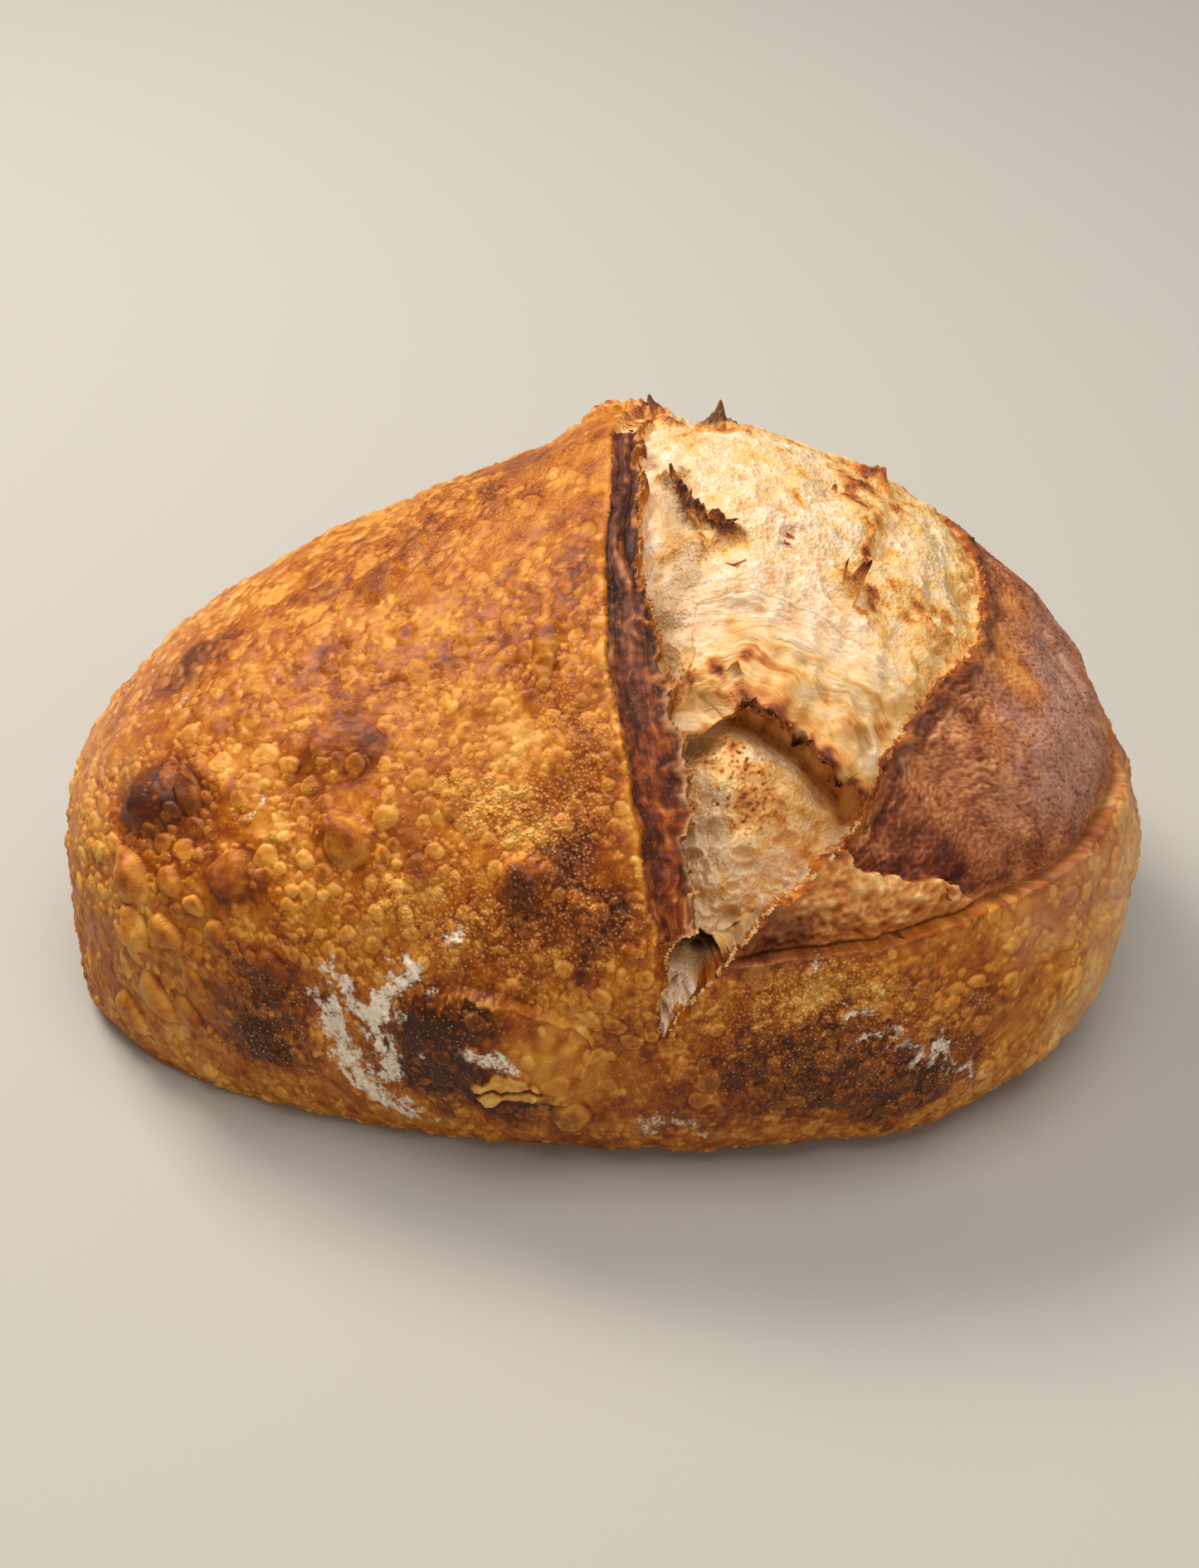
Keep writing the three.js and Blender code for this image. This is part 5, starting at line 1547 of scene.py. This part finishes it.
crumbLook = {
    "thread": (1.3, 9.0),
    "cream": [
        (0.0, (206, 134, 72)), (0.3, (234, 183, 130)), (0.55, (246, 211, 175)), (1.0, (253, 240, 226)),
    ],
    "foam": (0.3, 0.7),  # shares of the granules and of the fine grain
    "fine": (0.5, -0.65),  # the mottle's share, and the shift
    "threads": 0.8,
    "creamTone": (0.8, 0.1),  # the share of the fibres and their painted shade, and the shift
    "goldTone": (0.4, -0.05),
    "roughness": (-0.15, 0.5),  # how hollows and the rest are
    "gold": [
        (0.0, (250, 220, 162)), (0.35, (240, 188, 108)), (0.6, (216, 138, 62)), (0.82, (158, 80, 32)),
        (1.0, (84, 38, 20)),
    ],
    # scorched crumb, and the painted shade of the cleft's pocket
    "scorchAndShade": [(0.3, (44, 20, 14)), (0.55, (96, 46, 22)), (0.75, (160, 88, 38))],
    "toast": 2.2,  # how soon toasted crumb turns from cream to gold
    # painted shade in the hollows: how strong, and its colour
    "hollow": 0.8,
    "hollowShadeColour": (182, 146, 98),
    "bump": (0.0009, 0.8),
    "shader": {
        "Specular IOR Level": 0.4,
        "Subsurface Weight": 0.4,
        "Subsurface Radius": (1.0, 0.5, 0.22),
        "Subsurface Scale": 0.002,
    },
}


def crumbMaterial():
    look = crumbLook
    material, tree, shader, masks = markedMaterial("openCrumb")
    toasted, hollowShade, fibreAndShade = masks["crumbMarks"]
    scorchAndShadeMark = masks["tearMarks"][1]
    drawn = masks["grainMarks"][2]
    grain = placed(tree, "grain", Scale=1.0)
    threads = placed(tree, "fibres", Scale=look["thread"][0], Stretch=look["thread"][1])
    foam = times(tree, grain["Granule"], look["foam"][0])
    foam = timesPlus(tree, grain["Fine"], look["foam"][1], foam)
    thread = maths(tree, "SUBTRACT", threads["Thread"], foam)
    thread = timesPlus(tree, drawn, thread, foam)
    fine = timesPlus(tree, grain["Mottle"], *look["fine"])
    fine = timesPlus(tree, thread, look["threads"], fine)
    share, shift = look["creamTone"]
    value = timesPlus(tree, fibreAndShade, share, maths(tree, "ADD", fine, shift))
    cream = ramp(tree, look["cream"], value)
    share, shift = look["goldTone"]
    value = timesPlus(tree, fine, share, maths(tree, "ADD", toasted, shift))
    gold = ramp(tree, look["gold"], value)
    amount = times(tree, toasted, look["toast"], clamp=True)
    colour = blend(tree, amount, cream, gold)
    # painted shade in the hollows
    deep = times(tree, hollowShade, look["hollow"])
    colour = blend(tree, deep, colour, look["hollowShadeColour"])
    colour = blend(tree, scorchAndShadeMark, colour, ramp(tree, look["scorchAndShade"], grain["Mottle"]))
    tree.links.new(colour, shader.inputs["Base Color"])
    rough = timesPlus(tree, hollowShade, *look["roughness"])
    tree.links.new(rough, shader.inputs["Roughness"])
    finish(tree, shader, look, thread)
    return material


flapLook = {
    "scorch": [
        (0.0, (252, 226, 172)), (0.2, (244, 192, 110)), (0.42, (222, 142, 62)), (0.62, (166, 88, 36)),
        (0.82, (100, 48, 24)), (1.0, (54, 27, 18)),
    ],
    "tone": (0.5, -0.25),  # the mottle's share, and the shift
    "bump": (0.0003, 0.6),
    "shader": {"Roughness": 0.55, "Specular IOR Level": 0.3},
}


def flapMaterial():
    material, tree, shader = newMaterial("scorchedFlap")
    scorch = masksOf(tree, "scorch")[0]
    grain = placed(tree, "grain", Scale=2.0)
    share, shift = flapLook["tone"]
    value = timesPlus(tree, grain["Mottle"], share, maths(tree, "ADD", scorch, shift))
    tree.links.new(ramp(tree, flapLook["scorch"], value), shader.inputs["Base Color"])
    finish(tree, shader, flapLook, grain["Height"])
    return material


undersideLook = {
    "baked": [(0.3, (112, 60, 28)), (0.5, (168, 104, 52)), (0.7, (214, 176, 124))],
    "bump": (0.0004, 0.7),
    "shader": {"Roughness": 0.75},
}


def undersideMaterial():
    material, tree, shader = newMaterial("bakedUnderside")
    grain = placed(tree, "grain", Scale=0.4)
    colour = ramp(tree, undersideLook["baked"], grain["Mottle"])
    tree.links.new(colour, shader.inputs["Base Color"])
    finish(tree, shader, undersideLook, grain["Height"])
    return material


print("mixing the materials")
materials = [crustMaterial(), earMaterial(), crumbMaterial()]

# The pieces are blocks of the loaf, cut apart like wedges that meet at its heart.

heart = np.array([0.008, -0.010, 0.034])


def borderOf(block):  # once round the edge of a block of the grid
    return np.concatenate([block[0], block[1:, -1], block[-1, -2::-1], block[-2:0:-1, 0]])


def wedge(name, rows, columns):
    high, wide = rows[1] - rows[0] + 1, columns[1] - columns[0] + 1
    window = (slice(rows[0], rows[1] + 1), slice(columns[0], columns[1] + 1))
    place = points[window].reshape(-1, 3)
    index = np.arange(high * wide).reshape(high, wide)
    a, b, c, d = index[:-1, :-1], index[:-1, 1:], index[1:, 1:], index[1:, :-1]
    quads = np.stack([a, b, c, d], -1).reshape(-1, 4)
    border = borderOf(index)
    tip = len(place)
    fan = np.stack([np.roll(border, -1), border, np.full(len(border), tip)], -1)

    mesh = bpy.data.meshes.new(name)
    corners = np.concatenate([quads.ravel(), fan.ravel()])
    mesh.vertices.add(tip + 1)
    mesh.vertices.foreach_set("co", np.concatenate([place, heart[None]]).ravel())
    mesh.loops.add(len(corners))
    mesh.loops.foreach_set("vertex_index", corners)
    mesh.polygons.add(len(quads) + len(fan))
    starts = np.concatenate([4 * np.arange(len(quads)), 4 * len(quads) + 3 * np.arange(len(fan))])
    mesh.polygons.foreach_set("loop_start", starts)
    mesh.polygons.foreach_set("use_smooth", np.ones(len(starts), bool))
    for material in materials:
        mesh.materials.append(material)
    kind = gridKind[window][:-1, :-1].ravel()
    mesh.polygons.foreach_set("material_index", np.concatenate([kind, np.zeros(len(fan), int)]))
    mesh.update(calc_edges=True)
    for key, values in gridMarks.items():
        attribute = mesh.attributes.new(key, "FLOAT_COLOR", "POINT")
        flat = np.concatenate([values[window].reshape(-1, 4), np.zeros((1, 4))])
        attribute.data.foreach_set("color", flat.ravel())
    given = np.concatenate([normals[window].reshape(-1, 3), [[0, 0, 0]]])
    mesh.normals_split_custom_set_from_vertices(given.tolist())
    way = mesh.attributes.new("grain", "FLOAT_VECTOR", "POINT")
    drawn = np.zeros((tip + 1, 3))
    drawn[:tip, :2] = gridGrain[window].reshape(-1, 2)
    way.data.foreach_set("vector", drawn.ravel())
    piece = bpy.data.objects.new(name, mesh)
    scene.collection.objects.link(piece)
    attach(piece, "root")
    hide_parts("loaf")
    return piece


def rowAt(v):
    return int(np.argmin(abs(gridV[:, gridV.shape[1] // 2] - v)))


print("cutting the loaf into its pieces")
lastRow, lastColumn = points.shape[0] - 1, points.shape[1] - 1
lipColumn = sum(steps for place, steps in grid["columns"] if place <= 0)
cuts = {"pastEar": (268, 320), "front": -126, "lobeFront": -101, "middle": 5, "back": 104}
stepSize = 1
frontRight, backRight = (lipColumn + stop // stepSize for stop in cuts["pastEar"])
quarter = lastRow // 4
front, lobeFront, middle, back = (rowAt(cuts[name]) for name in ("front", "lobeFront", "middle", "back"))
wedges = [
    ("leftCrustFront", (0, quarter), (0, lipColumn), "crust"),
    ("leftCrustSide", (quarter, 2 * quarter), (0, lipColumn), "crust"),
    ("leftCrustCrown", (2 * quarter, 3 * quarter), (0, lipColumn), "crust"),
    ("leftCrustBack", (3 * quarter, lastRow), (0, lipColumn), "crust"),
    ("frontCrust", (0, front), (lipColumn, frontRight), "crust"),
    ("tornOpening", (front, middle), (lipColumn, frontRight), "crumb"),
    ("tornCrown", (middle, back), (lipColumn, backRight), "crumb"),
    ("backCrust", (back, lastRow), (lipColumn, backRight), "crust"),
    ("rightCrustFront", (0, lobeFront), (frontRight, lastColumn), "crust"),
    ("rightLobe", (lobeFront, middle), (frontRight, lastColumn), "crust"),
    ("rightCrustBack", (middle, lastRow), (backRight, lastColumn), "crust"),
]
for name, rows, columns, slot in wedges:
    piece = wedge(name, rows, columns)
    print(name, sum(len(p.vertices) - 2 for p in piece.data.polygons))


undersideForm = {
    "step": 5,  # places of the outline to one of the inner rings
    "rings": (0.985, 0.9, 0.75, 0.5, 0.25),
}


def underside():
    step, shares = undersideForm["step"], undersideForm["rings"]
    outline = borderOf(points)
    inner = outline[::step]
    centre = outline.mean(0)
    rings = [outline] + [centre + (inner - centre) * share for share in shares]
    vertices = np.concatenate(rings + [centre[None], heart[None]])
    count, small = len(outline), len(inner)
    faces = []
    for i in range(count):  # the wall up to the loaf's heart
        faces.append((i, (i + 1) % count, len(vertices) - 1))
    for i in range(small):
        j = (i + 1) % small
        stop = count if j == 0 else step * j
        for k in range(step * i, stop):
            faces.append(((k + 1) % count, k, count + i))
        faces.append((count + j, stop % count, count + i))
    last = len(shares) - 1
    for ring in range(last):
        start = count + ring * small
        for i in range(small):
            j = (i + 1) % small
            faces.append((start + j, start + i, start + small + i, start + small + j))
    start = count + last * small
    for i in range(small):
        faces.append((start + (i + 1) % small, start + i, len(vertices) - 2))
    mesh = bpy.data.meshes.new("underside")
    mesh.from_pydata(vertices.tolist(), [], faces)
    mesh.materials.append(undersideMaterial())
    piece = bpy.data.objects.new("underside", mesh)
    scene.collection.objects.link(piece)
    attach(piece, "root")
    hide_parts("loaf")


underside()

# A torn flap is modelled flat once, and each copy is bent to its place on the tear.

flapForm = {
    "large": (12, 7),  # faces across and up
    "small": (4, 2),
    "root": 1.3,  # mm that its foot is sunk
    "upright": 0.6,  # how far it turns up from the crust
    "ragged": [(0.22, 7), (0.14, 16), (0.07, 31)],  # depth and waves of its torn edge
    "top": (0.08, 1.35),  # the least and the most of its height that is left
    "thinner": 0.55,  # by this share at its tip
    "seeds": {"tornFlaps": 3, "tornFringe": 4, "places": 17},
    "fringeTurn": 25,  # degrees that one strays to either side
    "fringeThickness": 0.6,
}
# u, v, width, turn of its foot, height, lean to the right, taper, scorch at foot and tip, thickness
largeFlaps = [
    (10.8, 20.4, 4.4, -80, 2.6, 0.2, 0.9, 0.55, 1.0, 1.3),
    (12.4, 15.4, 5, -66, 1.8, -1.0, 0.6, 0.6, 1.0, 1.5),
    (15.2, 10.4, 5, -56, 2.0, -0.6, 0.6, 0.6, 1.0, 1.5),
    (18.6, 6.8, 5, -44, 1.8, -1.4, 0.7, 0.6, 1.0, 1.4),
    (21.3, 6.4, 3, -80, 1.4, -3.2, 0.9, 0.8, 1.05, 1.0),
    (14.6, 8.4, 6, -62, 1.4, 1.2, 0.6, 0.25, 0.6, 1.0),
    (17.2, 3.4, 6, -60, 1.2, 1.4, 0.6, 0.15, 0.5, 1.0),
    (19.7, 56.4, 3.2, 0, 1.6, 0.2, 1.0, 0.5, 1.0, 1.4),
    (58.4, 45.5, 7, -25, 1.8, 0.4, 0.4, 0.35, 0.6, 1.1),
    (61, 41, 5, -60, 1.6, 0.6, 0.5, 0.3, 0.55, 0.9),
    (54.6, 47.4, 6, -10, 1.4, 0.4, 0.5, 0.3, 0.5, 1.0),
    (53.6, 16, 6, -70, 1.3, 0.4, 0.6, 0.3, 0.6, 0.9),
    (45.8, -4.6, 3.6, -80, 6.2, 0.6, 1.0, 0.25, 1.0, 0.8),
    (48.4, -5.2, 4.4, -72, 4.6, -1.2, 1.0, 0.25, 1.0, 0.8),
    (47.6, -8, 5, -70, 2.6, -0.4, 0.7, 0.2, 0.5, 0.9),
    (49.8, -12, 6, -68, 1.6, 0.6, 0.5, 0.25, 0.4, 0.9),
    (35.9, 6.6, 2.6, -70, 1.5, 0.8, 0.7, 0.4, 0.75, 0.6),
    (35, 4.6, 2.2, -40, 1.2, 0.8, 0.7, 0.4, 0.7, 0.6),
    (23.7, -3.5, 5, -6, 0.7, 0.6, 0.5, 0.3, 0.6, 0.6),
    (46.5, 27.6, 2.4, -80, 1.6, 0.4, 0.8, 0.4, 0.75, 0.6),
    (21.4, -29.6, 4.4, -8, 3.2, 0.8, 1.0, 0.15, 0.45, 1.0),
    (24.8, -34.4, 5, -12, 2.2, 1.2, 0.6, 0.55, 0.95, 0.8),
    (30, -37.6, 7, -24, 2.0, 1.6, 0.5, 0.55, 0.95, 0.8),
    (36.6, -41.6, 7, -38, 1.8, 1.8, 0.5, 0.5, 0.9, 0.8),
    (42.2, -46.6, 6, -46, 1.6, 1.8, 0.5, 0.5, 0.85, 0.8),
    (71.8, -70.2, 6.5, -6, 2.2, 1.2, 0.6, 0.5, 0.85, 0.8),
    (69.6, -72.8, 5, -30, 1.6, 1.2, 0.7, 0.5, 0.8, 0.7),
    (44.2, -67.4, 4, -60, 1.8, -0.8, 0.9, 0.3, 0.5, 0.9),
]
fringes = [  # line, from and to as shares of it, count, sizes, lean to the right, scorch at foot and tip
    ("earEdge", 0.34, 0.8, 230, (0.6, 1.4), 0.7, 0.3, 0.5),
    ("shelf", 0.3, 0.95, 60, (1.0, 2.4), 0.9, 0.4, 0.8),
    ("rightRim", 0.02, 0.36, 150, (0.7, 1.7), -0.6, 0.0, 0.14),
    ("rightRim", 0.3, 0.75, 80, (0.8, 1.7), -0.5, 0.35, 0.6),
    ("earEdge", 0.02, 0.3, 60, (0.7, 1.6), 0.6, 0.1, 0.4),
]


def flatFlap(wide, high):
    bpy.ops.object.select_all(action="DESELECT")
    bpy.ops.mesh.primitive_grid_add(x_subdivisions=wide, y_subdivisions=high, size=1, location=(0, 0, 0))
    flap = bpy.context.object
    bpy.ops.object.modifier_add(type="SOLIDIFY")
    flap.modifiers["Solidify"].thickness = 1.0
    flap.modifiers["Solidify"].offset = 0.0
    bpy.ops.object.modifier_apply(modifier="Solidify")
    bpy.ops.object.modifier_add(type="SUBSURF")
    flap.modifiers["Subdivision"].levels = 1
    flap.modifiers["Subdivision"].render_levels = 1
    bpy.ops.object.modifier_apply(modifier="Subdivision")
    places = np.zeros(len(flap.data.vertices) * 3)
    flap.data.vertices.foreach_get("co", places)
    faces = np.array([list(face.vertices) for face in flap.data.polygons])
    bpy.ops.object.delete()
    return places.reshape(-1, 3), faces


def bendFlap(flat, values, rng):
    u, v, width, degrees, height, lean, taper, foot, tip, thickness = values
    turn = math.radians(degrees)
    s, share, side = flat[:, 0], flat[:, 1] + 0.5, flat[:, 2]
    phase = rng.uniform(0, 6.28, 6)
    ragged = 1
    for number, (depth, waves) in enumerate(flapForm["ragged"]):
        ragged = ragged + depth * np.sin(waves * s + phase[number])
    top = np.clip(ragged * (1 - taper * abs(2 * s) ** 1.3), *flapForm["top"])
    up = share * top
    along = s * width * (1 - 0.35 * taper * share) + 0.05 * width * share * np.sin(3 * share + phase[3])
    bow = lean * up**1.5 + 0.1 * width * np.sin(5 * s + phase[4]) * (0.4 + share)
    place = torn(u + along * math.cos(turn), v + along * math.sin(turn))
    middle = (np.array(u), np.array(v))
    outward = plainNormal(*middle) + np.array([0, 0, flapForm["upright"]])
    outward /= np.linalg.norm(outward)
    ahead = plainLoaf(middle[0] + math.cos(turn), middle[1] + math.sin(turn)) - plainLoaf(*middle)
    across = np.cross(ahead, outward)
    across /= np.linalg.norm(across)
    reach = height * up - flapForm["root"] * (1 - share)
    sideways = bow + side * thickness * (1 - flapForm["thinner"] * share)
    scorch = mix(foot, tip, up**1.2) + 0.06 * np.sin(31 * s + phase[5])
    return place + outward * reach[:, None] + across * sideways[:, None], scorch


def tornFlaps(name, kind, entries):
    flat, faces = flatFlap(*flapForm[kind])
    rng = np.random.default_rng(flapForm["seeds"][name])
    bent = [bendFlap(flat, values, rng) for values in entries]
    places = np.clip(np.concatenate([place for place, _ in bent]) / 1000, cadBox[0], cadBox[1])
    mesh = bpy.data.meshes.new(name)
    allFaces = np.concatenate([faces + k * len(flat) for k in range(len(bent))])
    mesh.from_pydata(places.tolist(), [], allFaces.tolist())
    attribute = mesh.attributes.new("scorch", "FLOAT_COLOR", "POINT")
    scorch = unit(np.concatenate([shade for _, shade in bent]))
    attribute.data.foreach_set("color", np.repeat(scorch, 4))
    mesh.materials.append(scorched)
    piece = bpy.data.objects.new(name, mesh)
    scene.collection.objects.link(piece)
    bpy.ops.object.select_all(action="DESELECT")
    piece.select_set(True)
    bpy.context.view_layer.objects.active = piece
    bpy.ops.object.shade_smooth()
    bpy.ops.object.mode_set(mode="EDIT")
    bpy.ops.mesh.select_all(action="SELECT")
    bpy.ops.mesh.normals_make_consistent(inside=False)
    bpy.ops.object.mode_set(mode="OBJECT")
    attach(piece, "root")
    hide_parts("loaf")
    print(name, len(entries), "flaps,", 2 * len(mesh.polygons), "triangles")


def fringeFlaps():
    rng = np.random.default_rng(flapForm["seeds"]["places"])
    strays = flapForm["fringeTurn"]
    entries = []
    for name, start, end, count, sizes, lean, foot, tip in fringes:
        line = lines[name]
        for at in np.sort(rng.uniform(start, end, count)) * (len(line) - 1):
            k = min(int(at), len(line) - 2)
            wayU, wayV = line[k + 1] - line[k]
            u, v = mix(line[k], line[k + 1], at - k)
            width = rng.uniform(*sizes)
            turn = math.degrees(math.atan2(wayV, wayU)) + rng.uniform(-strays, strays)
            height = rng.uniform(0.35, 0.9) * width**0.6
            entries.append((
                u, v, width, turn, height, lean * rng.uniform(0.5, 1.5), rng.uniform(0.3, 0.9),
                foot + rng.uniform(-0.1, 0.1), tip + rng.uniform(-0.15, 0.15),
                flapForm["fringeThickness"],
            ))
    return entries


print("standing up the torn flaps")
scorched = flapMaterial()
tornFlaps("tornFlaps", "large", largeFlaps)
tornFlaps("tornFringe", "small", fringeFlaps())

studio = {
    "floorSize": 6.0,
    "floorColour": (188, 184, 176),
    "floorRoughness": 0.9,
    "lamps": {
        "window": {"place": (-0.5, 0.5, 0.95), "size": 0.42, "power": 11.5, "colour": (1.0, 0.95, 0.87)},
        "ceiling": {"place": (0.1, -0.25, 1.25), "size": 0.8, "power": 9.0, "colour": (1.0, 0.97, 0.92)},
        "fill": {"place": (0.4, -0.9, 0.5), "size": 1.0, "power": 1.9, "colour": (1.0, 0.96, 0.9)},
    },
    "lampsFace": (0.0, 0.0, 0.05),
    "sky": (1.0, 0.97, 0.92),
    "skyStrength": 0.17,
}


def addFloor():
    bpy.ops.mesh.primitive_plane_add(size=studio["floorSize"], location=(0, 0, 0))
    floor = bpy.context.object
    floor.name = "floor"
    material, _, shader = newMaterial("palePaper")
    shader.inputs["Base Color"].default_value = (*linear(studio["floorColour"]), 1)
    shader.inputs["Roughness"].default_value = studio["floorRoughness"]
    floor.data.materials.append(material)


def addLight(name, place, size, power, colour):
    light = bpy.data.lights.new(name, "AREA")
    light.size, light.energy, light.color = size, power, colour
    lamp = bpy.data.objects.new(name, light)
    lamp.location = place
    direction = np.array(studio["lampsFace"]) - np.array(place)
    flat = math.hypot(direction[0], direction[1])
    tilt = math.pi / 2 + math.atan2(direction[2], flat)
    lamp.rotation_euler = (tilt, 0, math.atan2(-direction[0], direction[1]))
    scene.collection.objects.link(lamp)


view = {
    "elevation": 40.0,
    "distance": 0.520,
    "looksAt": (0.00043, -0.01247, 0.046),
    "focal": 2669.0,  # in the units of the frame's height
    "frameHeight": 1889.0,
    "sensor": 36.0,
    "nearest": 0.01,
}


def addCamera():
    camera = bpy.data.cameras.new("camera")
    camera.sensor_width = view["sensor"]
    camera.lens = view["focal"] * view["sensor"] / view["frameHeight"]
    camera.clip_start = view["nearest"]
    holder = bpy.data.objects.new("camera", camera)
    tilt = math.radians(view["elevation"])
    x, y, z = view["looksAt"]
    reach = view["distance"]
    holder.location = (x, y - reach * math.cos(tilt), z + reach * math.sin(tilt))
    holder.rotation_euler = (math.pi / 2 - tilt, 0, 0)
    scene.collection.objects.link(holder)
    scene.camera = holder


print("setting the floor, the light and the camera")
addFloor()
for name, lamp in studio["lamps"].items():
    addLight(name, **lamp)
world = bpy.data.worlds.new("room")
world.use_nodes = True
sky = world.node_tree.nodes["Background"].inputs
sky["Color"].default_value = (*studio["sky"], 1)
sky["Strength"].default_value = studio["skyStrength"]
scene.world = world
scene.view_settings.view_transform = "Standard"
addCamera()
